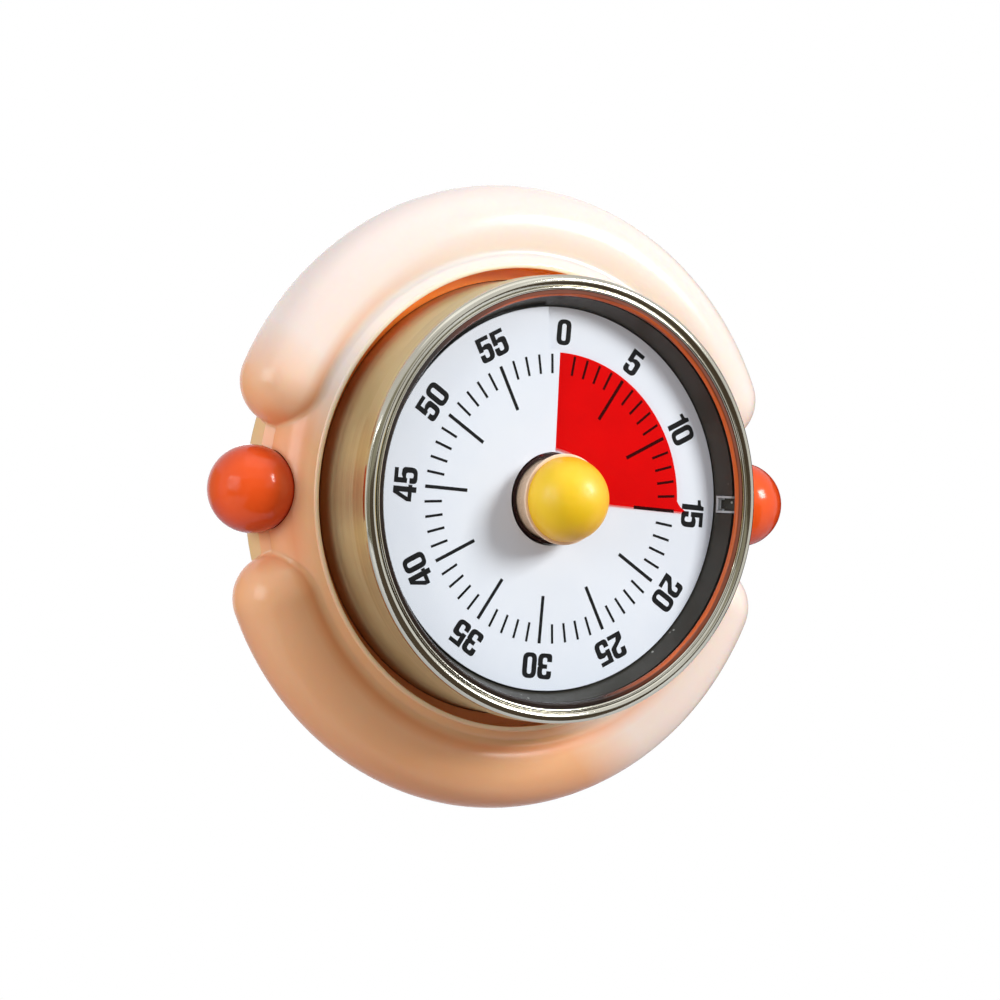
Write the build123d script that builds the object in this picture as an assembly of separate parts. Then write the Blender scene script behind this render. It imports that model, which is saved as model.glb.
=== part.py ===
"""Visual countdown timer: a wound one-hour movement in a steel cup, set in a moulded ring.

Millimetres, Z up, X to the right. The dial looks towards -Y and the flat back lies on Y = 0.
A depth is measured from the front of the bezel towards the back, along +Y.
A clock angle is measured clockwise from the top, seen from the front.
"""

import os
from math import atan2, cos, degrees, radians, sin

from build123d import *

# Gaps
running_gap = 0.3  # between pieces that move past each other
seat_gap = 0.15  # round pieces set in one another
slide_gap = 0.1  # pieces slid together
shaft_gap = 0.08  # a shaft in its bearing hole
press_gap = 0.05  # pieces pressed together

# Bezel, window and cup, from the bezel's edge inwards
bezel_radius = 39.0
bezel_wall = 0.6
bezel_rim = 2.6
outer_bead = 1.1
bezel_skirt = 5.4
cup_wall = 0.5
cup_corner = 2.0
gasket_band = 1.1
gasket_front = 0.45
gasket_height = 0.85
gasket_round = 0.5
gasket_swell = 0.1
lens_thickness = 0.8
key_width = 3.0  # moulded key of the lens in the wall ring
key_angle = 90.0
key_height = 2.8
key_depth = 1.2
key_proud = 0.2
key_leg = 0.7

# Dial and its screw surface
dial_turn = 3.4  # the unit sits a little clockwise in its ring
dial_sink = 3.1  # from the lens to the middle of the dial's front face
dial_hole_gap = 1.14  # between the stem and the dial
dial_thickness = 0.4
dial_pitch = 1.2  # rise of the dial in one turn
slit_angle = 2.5  # the slit lies this many degrees before the zero mark
slit_reach = 7.3  # its outer stretch starts this far inside the dial's edge
slit_jog_angle = 7.2  # and lies this many degrees before the zero mark
wall_ring_slope = 1.5
wall_ring_wall = 0.9
wall_ring_flange = 0.8
wall_ring_edge = 0.8
wall_ring_height = 4.2
carrier_seat = 3.5
carrier_ledge = 6.5
carrier_floor = 0.6
carrier_wall = 1.3

# Red film
film_margin = 7.9  # between the film's disc and the dial's edge
film_thickness = 0.2
film_minutes = 15
pointer_reach = 3.4
pointer_angle = 7.0
pointer_root = 0.3  # the pointer's foot lies this far inside the disc
pointer_hollow = 0.5  # its fillet starts this far outside
hub_wall = 0.5
hub_margin = 0.15

# Knob
knob_radius = 7.45
flange_reach = 0.5  # of the stem's flange beyond the knob
flange_thickness = 0.6
flange_round = 0.2
stem_radius = 7.05
stem_peg = 3.5
stem_peg_length = 3.0
arbor_radius = 1.5
arbor_front = 0.1  # depth of the arbor's end in the stem

# Movement
plate_thickness = 0.8
plate_gap = 0.4
plate_spacing = 11.2
pillar_radius = 1.6
pillar_inset = 3.9
pillar_count = 4
pillar_angle = 22.5
bearing_stub = 0.6

# Wheels: teeth, leaves and module
main_teeth = 48
main_module = 0.5
second_teeth = 40
second_module = 0.4
third_teeth = 42
third_module = 0.35
escape_teeth = 20
escape_radius = 6.0
escape_tooth = 1.2
second_leaves = 8
third_leaves = 8
escape_leaves = 7
wheel_thickness = 0.9
leaf_length = 2.2
main_wheel_lift = 1.2  # behind the front plate
second_wheel_step = 2.8  # behind the main wheel
third_wheel_step = 2.4
escape_wheel_step = 2.4
second_angle = 240.0  # clock angle of the second arbor from the centre
third_angle = 290.0  # of the third arbor from the second
escape_angle = 0.0  # of the escape arbor from the third
wheel_arbor = 0.6
wheel_rim = 1.4
wheel_addendum = 0.8  # height of a tooth above the pitch circle, in modules
wheel_dedendum = 1.1  # and below it
wheel_hub = 2.4
main_wheel_hub = 4.0
crossing_arm = 1.2
collet_radius = 3.2  # of the main wheel on its arbor
collet_length = 1.9

# Mainspring
barrel_radius = 10.0
barrel_wall = 0.5
barrel_length = 4.6
spring_thickness = 0.35
spring_width = 3.4
spring_turns = 3
spring_start = 1.9  # from the arbor's face to the innermost turn

# Balance
balance_distance = 11.0
balance_angle = 30.0
balance_rim = 4.4
balance_rim_width = 0.7
balance_thickness = 0.6
balance_hub = 1.2
balance_pin_reach = 3.4
balance_pin_angle = 20.0
balance_pin_length = 1.2
balance_pin = 0.35

# Bell and hammer
bell_radius = 20.0
bell_curl = 6.0  # width of the bell's curved rim
bell_lift = 1.0
bell_height = 4.2
bell_wall = 0.6
bell_gap = 0.5  # between the bell and the cup's floor
bell_post = 2.4
bell_stud = 1.0
bell_nut_radius = 2.4
bell_nut_height = 1.2
hammer_radius = 2.2
hammer_height = 3.4
hammer_gap = 0.5
hammer_angle = 120.0
hammer_lift = 0.6
hammer_pivot_inset = 6.4
hammer_pivot_angle = 145.0
hammer_hub = 1.8
hammer_hub_height = 2.4
hammer_arm_width = 1.6
hammer_arm_thickness = 0.8
hammer_pivot = 0.7

# Moulded ring
well_gap = 1.4  # the lip's radius beyond the bezel's
well_floor = 2.1
well_wall = 2.0
well_depth = 11.35  # from the lip to the cup's floor
well_step = 7.2  # height of the close-fitting stretch of the well
ring_wall = 1.8
lip_width = 1.0
lip_drop_inner = 0.5
lip_drop_outer = 0.3
shoulder_reach = 3.4
shoulder_drop = 2.9
shoulder_wall = 2.6
shoulder_core = 1.0
flank_reach = 5.2
flank_drop = 7.75
base_reach = 6.6
base_height = 4.3
cover_step = 1.5
cover_height = 3.3
cover_plate = 1.6
cover_rim = 1.6
screw_count = 4
screw_angle = 45.0
screw_shank = 1.0
screw_head = 1.9
screw_head_height = 1.2
screw_length = 7.0
screw_sink = 0.1
screw_spare = 1.2  # of the hole below the screw's tip
screw_wall = 1.0
magnet_radius = 7.0
magnet_inset = 16.5
magnet_count = 4
magnet_fence = 1.2

# Lobes and side balls
tube_radius = 8.0
tube_inset = 0.6
tube_lift = 8.3  # of the tube's middle in front of the flat back
tube_wall = 1.8
upper_lobe_angle = 66.5  # from the middle of the lobe to the centre of its round end
lower_lobe_angle = 66.5
ball_radius = 7.7
ball_offset = 1.7
ball_lift = 9.0
peg_radius = 2.0
peg_wall = 2.0
peg_length = 6.5

# Radii that follow
full_turn = 360.0
cup_radius = bezel_radius - bezel_wall - slide_gap
cup_bore = cup_radius - cup_wall
bezel_opening = bezel_radius - bezel_rim
gasket_inner = bezel_opening - gasket_band
lens_radius = cup_bore - seat_gap
wall_ring_bore = gasket_inner - wall_ring_slope
dial_radius = wall_ring_bore - running_gap
dial_hole = stem_radius + dial_hole_gap
slit_jog_radius = dial_radius - slit_reach
film_radius = dial_radius - film_margin
pointer_radius = film_radius + pointer_reach
flange_radius = knob_radius + flange_reach
hub_bore = stem_radius + running_gap
hub_radius = hub_bore + hub_wall
plate_radius = cup_bore - plate_gap
pillar_circle = plate_radius - pillar_inset
barrel_bore = barrel_radius - barrel_wall
spring_inner = arbor_radius + spring_start
bell_flat = bell_radius - bell_curl
lip_radius = bezel_radius + well_gap
lip_outer = lip_radius + lip_width
base_radius = lip_outer + base_reach
well_outer = lip_radius + well_wall
cavity_outer = base_radius - ring_wall
cover_radius = base_radius - cover_step
magnet_circle = cover_radius - magnet_inset
screw_circle = (well_outer + cavity_outer) / 2
screw_boss = (cavity_outer - well_outer) / 2 + slide_gap
tube_circle = base_radius - tube_inset
ball_centre = base_radius + ball_offset

# Depths that follow
lens_front = gasket_front + gasket_height
lens_rear = lens_front + lens_thickness
flange_rear = lens_front - running_gap
knob_rear = flange_rear - flange_thickness
key_rear = lens_rear + key_height
dial_depth = lens_rear + dial_sink  # middle of the dial's front face
wall_ring_rear = lens_rear + wall_ring_height
front_plate_depth = wall_ring_rear + running_gap + carrier_floor
rear_plate_depth = front_plate_depth + plate_thickness + plate_spacing
main_wheel_depth = front_plate_depth + plate_thickness + main_wheel_lift
collet_rear = main_wheel_depth + wheel_thickness + collet_length
second_wheel_depth = main_wheel_depth + second_wheel_step
third_wheel_depth = second_wheel_depth + third_wheel_step
escape_wheel_depth = third_wheel_depth + escape_wheel_step
bell_depth = rear_plate_depth + plate_thickness + bell_lift
hammer_depth = bell_depth + hammer_lift
cup_floor_inside = bell_depth + bell_height + bell_gap
cup_depth = cup_floor_inside + cup_wall
lip_depth = cup_depth - well_depth
base_rear = cup_depth + well_floor
base_front = base_rear - base_height
case_depth = base_rear + cover_height
tube_depth = case_depth - tube_lift
ball_depth = case_depth - ball_lift
screw_top = case_depth - screw_sink
screw_head_seat = screw_top - screw_head_height
film_lead = 6 * film_minutes  # clock angle of the film's leading edge on the dial


def spot(radius, depth):
    """Point of a turned piece's outline."""
    return (radius, depth - case_depth)


def around(distance, clock_angle, origin=(0.0, 0.0)):
    """Front-view point (x, z) at a distance and clock angle from an origin."""
    turn = radians(clock_angle)
    return (origin[0] + distance * sin(turn), origin[1] + distance * cos(turn))


def turned(*outline):
    """Solid of revolution about the dial axis."""
    return revolve(make_face(Polyline(*outline, close=True)), axis=Axis.Y)


def front_view(depth, centre=(0.0, 0.0), turn=0.0):
    """Sketch plane that faces the viewer, with its Y axis turned clockwise from the top."""
    angle = radians(turn)
    return Plane(
        origin=(centre[0], depth - case_depth, centre[1]),
        x_dir=(cos(angle), 0, -sin(angle)),
        z_dir=(0, -1, 0),
    )


def slab(sketch, front, rear, centre=(0.0, 0.0), turn=0.0):
    """A flat outline made solid between two depths."""
    return extrude(front_view(rear, centre, turn) * sketch, amount=rear - front)


def rod(radius, front, rear, centre=(0.0, 0.0)):
    """Round bar along the dial axis's direction."""
    return slab(Circle(radius), front, rear, centre)


def pipe(outer, inner, front, rear, centre=(0.0, 0.0)):
    """Round tube along the dial axis's direction."""
    return slab(Circle(outer) - Circle(inner), front, rear, centre)


def clock_circle(radius, count, first):
    """Evenly spaced front-view points on a circle."""
    return [around(radius, first + full_turn * index / count) for index in range(count)]


def screw_slice(inner, outer, start, end, front, rear):
    """Slice of the dial's screw surface between two clock angles.

    It rises towards the viewer by the dial's pitch in each clockwise turn. Front and rear are
    the depths of its faces at the zero mark.
    """
    rise = dial_pitch * (end - start) / full_turn

    def rail(radius, depth):
        """Edge that follows the screw at one radius."""
        helix = Edge.make_helix(dial_pitch, rise, radius, lefthand=True)
        lift = case_depth - depth + dial_pitch * start / full_turn
        return Pos(0, 0, lift) * Rot(0, 0, -start) * helix

    rails = [rail(inner, rear), rail(outer, rear), rail(outer, front), rail(inner, front)]
    faces = [
        Face.make_surface_from_curves(rail_a, rail_b)
        for rail_a, rail_b in zip(rails, rails[1:] + rails[:1])
    ]
    for place in (0, 1):
        faces.append(Face(Wire.make_polygon([edge @ place for edge in rails], close=True)))
    turn = radians(dial_turn)
    upright = Plane(origin=(0, 0, 0), x_dir=(sin(turn), 0, cos(turn)), z_dir=(0, -1, 0))
    return upright.location * Solid(Shell(faces))


def gear(teeth, module, addendum, dedendum, tip_share, pitch_share, root_share):
    """Outline of a toothed wheel with one tooth on its Y axis. Shares are of the tooth pitch."""
    pitch_radius = teeth * module / 2
    flank = [
        (pitch_radius - dedendum * module, root_share),
        (pitch_radius, pitch_share),
        (pitch_radius + addendum * module, tip_share),
    ]
    tooth = [(radius, -share) for radius, share in flank]
    tooth += [(radius, share) for radius, share in reversed(flank)]
    points = [
        around(radius, full_turn * (index + share) / teeth)
        for index in range(teeth)
        for radius, share in tooth
    ]
    return make_face(Polyline(*points, close=True))


def wheel_outline(teeth, module, hub, arms):
    """Brass wheel with tapered teeth and openings between its arms."""
    outline = gear(
        teeth,
        module,
        addendum=wheel_addendum,
        dedendum=wheel_dedendum,
        tip_share=0.06,
        pitch_share=0.2,
        root_share=0.24,
    )
    reach = teeth * module / 2 - wheel_dedendum * module - wheel_rim
    openings = Circle(reach) - Circle(hub)
    for index in range(arms):
        arm = Pos(0, reach / 2) * Rectangle(crossing_arm, reach)
        openings -= Rot(0, 0, full_turn * index / arms) * arm
    return outline - openings


def pinion_outline(leaves, module):
    """Steel pinion with nearly parallel leaves."""
    return gear(
        leaves,
        module,
        addendum=0.6,
        dedendum=1.15,
        tip_share=0.07,
        pitch_share=0.15,
        root_share=0.13,
    )


# Case pieces ---------------------------------------------------------------------------------


def bezel():
    """Rolled rim with an outer and an inner bead, and a skirt over the cup."""
    back = lens_front - press_gap
    bead_top = bezel_radius - outer_bead
    groove = bead_top - (outer_bead**2 - (outer_bead - gasket_front) ** 2) ** 0.5
    inner_bead = (groove - bezel_opening) / 2
    skirt_bore = cup_radius + slide_gap
    rim = Line(spot(bezel_opening, back), spot(bezel_opening, gasket_front))
    rim += ThreePointArc(
        spot(bezel_opening, gasket_front),
        spot(bezel_opening + inner_bead, gasket_front - inner_bead),
        spot(groove, gasket_front),
    )
    rim += ThreePointArc(
        spot(groove, gasket_front),
        spot(bead_top, 0),
        spot(bezel_radius, outer_bead),
    )
    rim += Polyline(
        spot(bezel_radius, outer_bead),
        spot(bezel_radius, bezel_skirt),
        spot(skirt_bore, bezel_skirt),
        spot(skirt_bore, back),
        spot(bezel_opening, back),
    )
    return revolve(make_face(rim), axis=Axis.Y)


def lens_gasket():
    """Soft hoop between the bezel's opening and the lens."""
    middle = (gasket_front + lens_front) / 2
    outer = bezel_opening - press_gap
    crown = gasket_inner + gasket_round
    hoop = Polyline(
        spot(gasket_inner, lens_front),
        spot(outer, lens_front),
        spot(outer, gasket_front),
        spot(crown, gasket_front),
    )
    hoop += ThreePointArc(
        spot(crown, gasket_front),
        spot(gasket_inner + gasket_swell, middle),
        spot(gasket_inner, lens_front),
    )
    return revolve(make_face(hoop), axis=Axis.Y)


def lens_key(margin):
    """Sloping block that keys the lens in the wall ring, or its pocket with a margin."""
    rear = key_rear + margin
    slope = turned(
        spot(gasket_inner - key_proud, lens_rear),
        spot(wall_ring_bore - key_proud / 2, rear),
        spot(wall_ring_bore + key_depth, rear),
        spot(gasket_inner + key_depth + margin, lens_rear),
    )
    width = Rectangle(key_width + 2 * margin, case_depth)
    return slope & slab(Pos(0, gasket_inner) * width, 0, case_depth, turn=key_angle)


def lens():
    """Clear window with a hole for the knob's stem and a U-shaped key on its rear."""
    disc = pipe(lens_radius, stem_radius + running_gap, lens_front, lens_rear)
    slot_inner = wall_ring_bore + key_leg
    slot = Pos(0, slot_inner + key_width) * Rectangle(key_width - 2 * key_leg, 2 * key_width)
    return disc + (lens_key(0) - slab(slot, lens_rear, key_rear + 1, turn=key_angle))


def wall_ring():
    """Dark sloping ring between the window and the dial's rim."""
    ring = turned(
        spot(gasket_inner, lens_rear),
        spot(wall_ring_bore, wall_ring_rear - wall_ring_edge),
        spot(wall_ring_bore, wall_ring_rear),
        spot(wall_ring_bore + wall_ring_wall, wall_ring_rear),
        spot(gasket_inner + wall_ring_wall, lens_rear + wall_ring_flange),
        spot(lens_radius, lens_rear + wall_ring_flange),
        spot(lens_radius, lens_rear),
    )
    return ring - lens_key(seat_gap)


def dial_front():
    """Depth of the dial's front face at the zero mark."""
    return dial_depth + dial_pitch / 2


def dial():
    """Printed dial on a screw surface, slit at the zero mark for the film."""
    front = dial_front()
    rear = front + dial_thickness
    bands = [(dial_hole, slit_jog_radius, -slit_angle)]
    bands.append((slit_jog_radius, dial_radius, -slit_jog_angle))
    inner, outer = (
        screw_slice(bore, edge, start, start + full_turn, front, rear)
        for bore, edge, start in bands
    )
    return inner + outer


def dial_carrier():
    """Ring that carries the dial's rim on a rising seat and the wall ring on its wall."""
    outer = lens_radius
    rear = front_plate_depth
    body = pipe(outer, outer - carrier_wall, lens_rear + wall_ring_flange, rear)
    body += pipe(outer, dial_radius - carrier_ledge, rear - carrier_floor, rear)
    seat_front = dial_front() + dial_thickness + press_gap
    seat = screw_slice(
        dial_radius - carrier_seat,
        dial_radius,
        -slit_jog_angle,
        full_turn - slit_jog_angle,
        seat_front,
        seat_front + dial_pitch + carrier_floor,
    )
    return body + (seat & rod(outer, 0, rear))


def cup():
    """Drawn steel cup with a rounded floor corner."""
    inner_corner = cup_corner - cup_wall
    wall = Line(spot(cup_radius, lens_front), spot(cup_radius, cup_depth - cup_corner))
    wall += TangentArc(
        spot(cup_radius, cup_depth - cup_corner),
        spot(cup_radius - cup_corner, cup_depth),
        tangent=(0, 1),
    )
    wall += Polyline(
        spot(cup_radius - cup_corner, cup_depth),
        spot(0, cup_depth),
        spot(0, cup_floor_inside),
        spot(cup_bore - inner_corner, cup_floor_inside),
    )
    wall += TangentArc(
        spot(cup_bore - inner_corner, cup_floor_inside),
        spot(cup_bore, cup_floor_inside - inner_corner),
        tangent=(1, 0),
    )
    wall += Polyline(
        spot(cup_bore, cup_floor_inside - inner_corner),
        spot(cup_bore, lens_front),
        spot(cup_radius, lens_front),
    )
    return revolve(make_face(wall), axis=Axis.Y)


# Ring pieces ---------------------------------------------------------------------------------


def ring_skin(lift=0.0):
    """Round shoulder of the ring between the lip and the base, raised by a lift."""
    front = lip_depth - lift
    return ThreePointArc(
        spot(lip_outer, front + lip_drop_outer),
        spot(lip_outer + shoulder_reach, front + shoulder_drop),
        spot(lip_outer + flank_reach, front + flank_drop),
    )


def ball_place(side):
    """Centre of a side ball; side is -1 or 1."""
    return Pos(side * ball_centre, ball_depth - case_depth, 0)


def screw_places():
    """Front-view places of the cover screws."""
    return clock_circle(screw_circle, screw_count, screw_angle)


def ring_base():
    """Moulded ring: a well for the cup, a round lip and a base that carries lobes and balls."""
    skin = ring_skin()
    well_bore = cup_radius + seat_gap
    lip_inner = spot(lip_radius, lip_depth + lip_drop_inner)
    outline = skin + ThreePointArc(
        lip_inner, spot(lip_radius + lip_width / 2, lip_depth), skin @ 0
    )
    outline += Polyline(
        skin @ 1,
        spot(base_radius, base_front),
        spot(base_radius, base_rear),
        spot(0, base_rear),
        spot(0, cup_depth),
        spot(well_bore, cup_depth),
        spot(well_bore, cup_depth - well_step),
        spot(lip_radius, cup_depth - well_step),
        lip_inner,
    )
    body = revolve(make_face(outline), axis=Axis.Y)
    cavity_front = lip_depth + shoulder_drop + shoulder_wall
    cavity = turned(
        spot(well_outer, base_rear),
        spot(well_outer, cavity_front),
        spot(well_outer + shoulder_core, cavity_front),
        spot(cavity_outer, base_front + ring_wall),
        spot(cavity_outer, base_rear),
    )
    cavity -= Box(2 * base_radius, 2 * case_depth, 2 * (peg_radius + peg_wall))
    for place in screw_places():
        cavity -= rod(screw_boss, 0, base_rear, place)
    for side in (-1, 1):
        cavity -= ball_place(side) * Sphere(ball_radius + seat_gap + ring_wall)
    body -= cavity
    for side in (-1, 1):
        body -= ball_place(side) * Sphere(ball_radius + seat_gap)
        body -= ball_peg(side, seat_gap)
    hole_end = screw_top - screw_length - screw_spare
    for place in screw_places():
        body -= rod(screw_shank + slide_gap, hole_end, base_rear, place)
    return body


def ball_peg(side, margin):
    """Peg that holds a side ball, or its hole with a margin."""
    length = peg_length + margin
    peg = Rot(0, 90, 0) * Cylinder(peg_radius + margin, length)
    return ball_place(side) * Pos(-side * length / 2, 0, 0) * peg


def side_balls():
    """Two balls on pegs, one at each side of the ring."""
    return [ball_place(side) * Sphere(ball_radius) + ball_peg(side, 0) for side in (-1, 1)]


def lobe(middle, half_angle):
    """Hollow crescent with round ends, wrapped round the ring's edge about a clock angle."""
    centre = spot(tube_circle, tube_depth)

    def tube(radius):
        """Round bar along the crescent with a ball at each end."""
        section = Pos(*centre) * Circle(radius)
        bar = revolve(section, axis=Axis.Y, revolution_arc=2 * half_angle)
        bar = Rot(0, middle - 90 - half_angle, 0) * bar
        for end in (-half_angle, half_angle):
            x, z = around(tube_circle, middle + end)
            bar += Pos(x, tube_depth - case_depth, z) * Sphere(radius)
        return bar

    edge = base_radius + seat_gap
    step = cover_radius + seat_gap
    skin = ring_skin(seat_gap)
    outline = skin + Polyline(
        skin @ 1,
        spot(edge, base_front - seat_gap),
        spot(edge, base_rear + seat_gap),
        spot(step, base_rear + seat_gap),
        spot(step, case_depth),
        spot(0, case_depth),
        spot(0, 0),
        spot(lip_outer, 0),
        skin @ 0,
    )
    seat = revolve(make_face(outline), axis=Axis.Y)
    return tube(tube_radius) - tube(tube_radius - tube_wall) - seat


def rear_cover():
    """Flat cover with fences for the magnets and counterbored screw holes."""
    body = rod(cover_radius, base_rear, case_depth)
    hollow = rod(cover_radius - cover_rim, base_rear, case_depth - cover_plate)
    for place in screw_places():
        hollow -= rod(screw_head + screw_wall, 0, case_depth, place)
    for place in magnet_places():
        fence = magnet_radius + seat_gap + magnet_fence
        hollow -= pipe(fence, magnet_radius + seat_gap, 0, case_depth, place)
    for side in (-1, 1):
        hollow -= ball_place(side) * Sphere(ball_radius + seat_gap + cover_rim)
        body -= ball_place(side) * Sphere(ball_radius + seat_gap)
    body -= hollow
    for place in screw_places():
        body -= rod(screw_shank + slide_gap, base_rear, case_depth, place)
        body -= rod(screw_head + seat_gap, screw_head_seat, case_depth, place)
    return body


def magnet_places():
    """Front-view places of the magnets."""
    return clock_circle(magnet_circle, magnet_count, 0)


def magnets():
    """Disc magnets on the inside of the cover."""
    return [
        rod(magnet_radius, base_rear, case_depth - cover_plate, place)
        for place in magnet_places()
    ]


def cover_screws():
    """Screws through the cover into the ring."""
    return [
        rod(screw_head, screw_head_seat, screw_top, place)
        + rod(screw_shank, screw_top - screw_length, screw_head_seat, place)
        for place in screw_places()
    ]


# Movement ------------------------------------------------------------------------------------

main_place = (0.0, 0.0)
second_place = around(
    (main_teeth + second_leaves) * main_module / 2, second_angle, main_place
)
third_place = around(
    (second_teeth + third_leaves) * second_module / 2, third_angle, second_place
)
escape_place = around(
    (third_teeth + escape_leaves) * third_module / 2, escape_angle, third_place
)
balance_place = around(balance_distance, balance_angle, escape_place)
hammer_place = around(bell_radius + hammer_gap + hammer_radius, hammer_angle)
hammer_pivot_place = around(plate_radius - hammer_pivot_inset, hammer_pivot_angle)


def pillar_places():
    """Front-view places of the pillars."""
    return clock_circle(pillar_circle, pillar_count, pillar_angle)


def plate(front):
    """Movement plate with its bearing holes."""
    rear = front + plate_thickness
    body = rod(plate_radius, front, rear)
    body -= rod(arbor_radius + shaft_gap, front, rear)
    for place in (second_place, third_place, escape_place, balance_place):
        body -= rod(wheel_arbor + shaft_gap, front, rear, place)
    return body


def front_plate():
    """Plate under the dial."""
    return plate(front_plate_depth)


def rear_plate():
    """Plate that carries the bell's post and the hammer's pivot."""
    rear = rear_plate_depth + plate_thickness
    body = plate(rear_plate_depth)
    body += rod(bell_post, rear, bell_depth)
    body += rod(bell_stud, bell_depth, bell_depth + bell_wall + bell_nut_height)
    body += rod(hammer_pivot, rear, hammer_depth + hammer_height, hammer_pivot_place)
    return body


def pillars():
    """Posts between the plates, and feet that stand on the cup's floor."""
    top = front_plate_depth + plate_thickness
    foot = rear_plate_depth + plate_thickness
    posts = [rod(pillar_radius, top, rear_plate_depth, place) for place in pillar_places()]
    feet = [rod(pillar_radius, foot, cup_floor_inside, place) for place in pillar_places()]
    return posts + feet


def spring_barrel():
    """Fixed drum round the mainspring, open to the front and standing on the rear plate."""
    front = rear_plate_depth - barrel_length
    body = rod(barrel_radius, front, rear_plate_depth)
    body -= rod(barrel_bore, front, rear_plate_depth - barrel_wall)
    return body - rod(arbor_radius + 2 * shaft_gap, front, rear_plate_depth)


def mainspring():
    """Flat spiral of half turns from the arbor's collar out to the drum."""
    reach = barrel_bore - seat_gap - spring_thickness / 2
    step = (reach - spring_inner) / (2 * spring_turns)

    def coil(offset):
        """One edge of the ribbon."""
        path = []
        for half in range(2 * spring_turns):
            side = 1 if half % 2 == 0 else -1
            centre = 0 if side > 0 else step
            radius = spring_inner + half * step + offset
            path.append(
                ThreePointArc(
                    (centre + side * radius, 0),
                    (centre, side * radius),
                    (centre - side * radius, 0),
                )
            )
        return path

    inner = coil(-spring_thickness / 2)
    outer = coil(spring_thickness / 2)
    ribbon = inner[0]
    for arc in inner[1:] + outer:
        ribbon += arc
    ribbon += Line(inner[0] @ 0, outer[0] @ 0)
    ribbon += Line(inner[-1] @ 1, outer[-1] @ 1)
    rear = rear_plate_depth - barrel_wall - slide_gap
    return slab(make_face(ribbon), rear - spring_width, rear)


def train_piece(place, wheel, depth, thickness, wheel_turn, pinion, mesh_depth, pinion_turn):
    """Wheel, pinion and arbor as one piece; the pinion's leaves straddle the depth they mesh at."""
    body = slab(wheel, depth, depth + thickness, place, wheel_turn)
    middle = mesh_depth + wheel_thickness / 2
    front = middle - leaf_length / 2
    body += slab(pinion, front, front + leaf_length, place, pinion_turn)
    stub_front = front_plate_depth + plate_thickness - bearing_stub
    body += rod(wheel_arbor, stub_front, rear_plate_depth + bearing_stub, place)
    return body


def second_wheel():
    """Second wheel, driven by the main wheel."""
    return train_piece(
        second_place,
        wheel_outline(second_teeth, second_module, wheel_hub, arms=4),
        second_wheel_depth,
        wheel_thickness,
        third_angle,
        pinion_outline(second_leaves, main_module),
        main_wheel_depth,
        second_angle + 180 + 180 / second_leaves,
    )


def third_wheel():
    """Third wheel, driven by the second wheel."""
    return train_piece(
        third_place,
        wheel_outline(third_teeth, third_module, wheel_hub, arms=4),
        third_wheel_depth,
        wheel_thickness,
        escape_angle,
        pinion_outline(third_leaves, second_module),
        second_wheel_depth,
        third_angle + 180 + 180 / third_leaves,
    )


def escape_wheel():
    """Escape wheel with raked teeth, driven by the third wheel."""
    tooth_start, tip_start, tip_end = 0.0, 0.05, 0.15
    points = []
    for index in range(escape_teeth):
        for radius, share in (
            (escape_radius - escape_tooth, tooth_start),
            (escape_radius, tip_start),
            (escape_radius, tip_end),
        ):
            points.append(around(radius, full_turn * (index + share) / escape_teeth))
    wheel = make_face(Polyline(*points, close=True))
    return train_piece(
        escape_place,
        wheel,
        escape_wheel_depth,
        wheel_thickness,
        0,
        pinion_outline(escape_leaves, third_module),
        third_wheel_depth,
        escape_angle + 180 + 180 / escape_leaves,
    )


def balance():
    """Oscillating balance with two pins that face the escape wheel."""
    front = escape_wheel_depth - balance_thickness / 2
    rear = front + balance_thickness
    rim = Circle(balance_rim) - Circle(balance_rim - balance_rim_width)
    arm = Rectangle(2 * balance_rim - balance_rim_width, 2 * balance_rim_width)
    body = slab(rim + arm + Circle(balance_hub), front, rear, balance_place, balance_angle)
    for spread in (-balance_pin_angle, balance_pin_angle):
        place = around(balance_pin_reach, balance_angle + 180 + spread, balance_place)
        body += rod(balance_pin, front, rear + balance_pin_length, place)
        foot = Pos(0, balance_pin_reach / 2) * Rectangle(2 * balance_pin, balance_pin_reach)
        body += slab(foot, front, rear, balance_place, balance_angle + 180 + spread)
    stub_front = front_plate_depth + plate_thickness - bearing_stub
    body += rod(wheel_arbor, stub_front, rear_plate_depth + bearing_stub, balance_place)
    return body


def bell():
    """Steel bell, open to the rear, on the rear plate's post."""
    rear = bell_depth + bell_height
    curve = ((bell_radius - bell_flat) ** 2 + bell_height**2) / (2 * bell_height)
    inner = bell_flat + ((curve - bell_wall) ** 2 - (bell_height - curve) ** 2) ** 0.5
    dome = Line(spot(bell_stud + seat_gap, bell_depth), spot(bell_flat, bell_depth))
    dome += TangentArc(
        spot(bell_flat, bell_depth), spot(bell_radius, rear), tangent=(1, 0)
    )
    dome += Line(spot(bell_radius, rear), spot(inner, rear))
    dome += TangentArc(
        spot(bell_flat, bell_depth + bell_wall), spot(inner, rear), tangent=(1, 0)
    )
    dome += Polyline(
        spot(bell_flat, bell_depth + bell_wall),
        spot(bell_stud + seat_gap, bell_depth + bell_wall),
        spot(bell_stud + seat_gap, bell_depth),
    )
    return revolve(make_face(dome), axis=Axis.Y)


def bell_nut():
    """Hexagon nut on the bell's stud."""
    front = bell_depth + bell_wall
    outline = RegularPolygon(bell_nut_radius, 6) - Circle(bell_stud + press_gap)
    return slab(outline, front, front + bell_nut_height)


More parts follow.
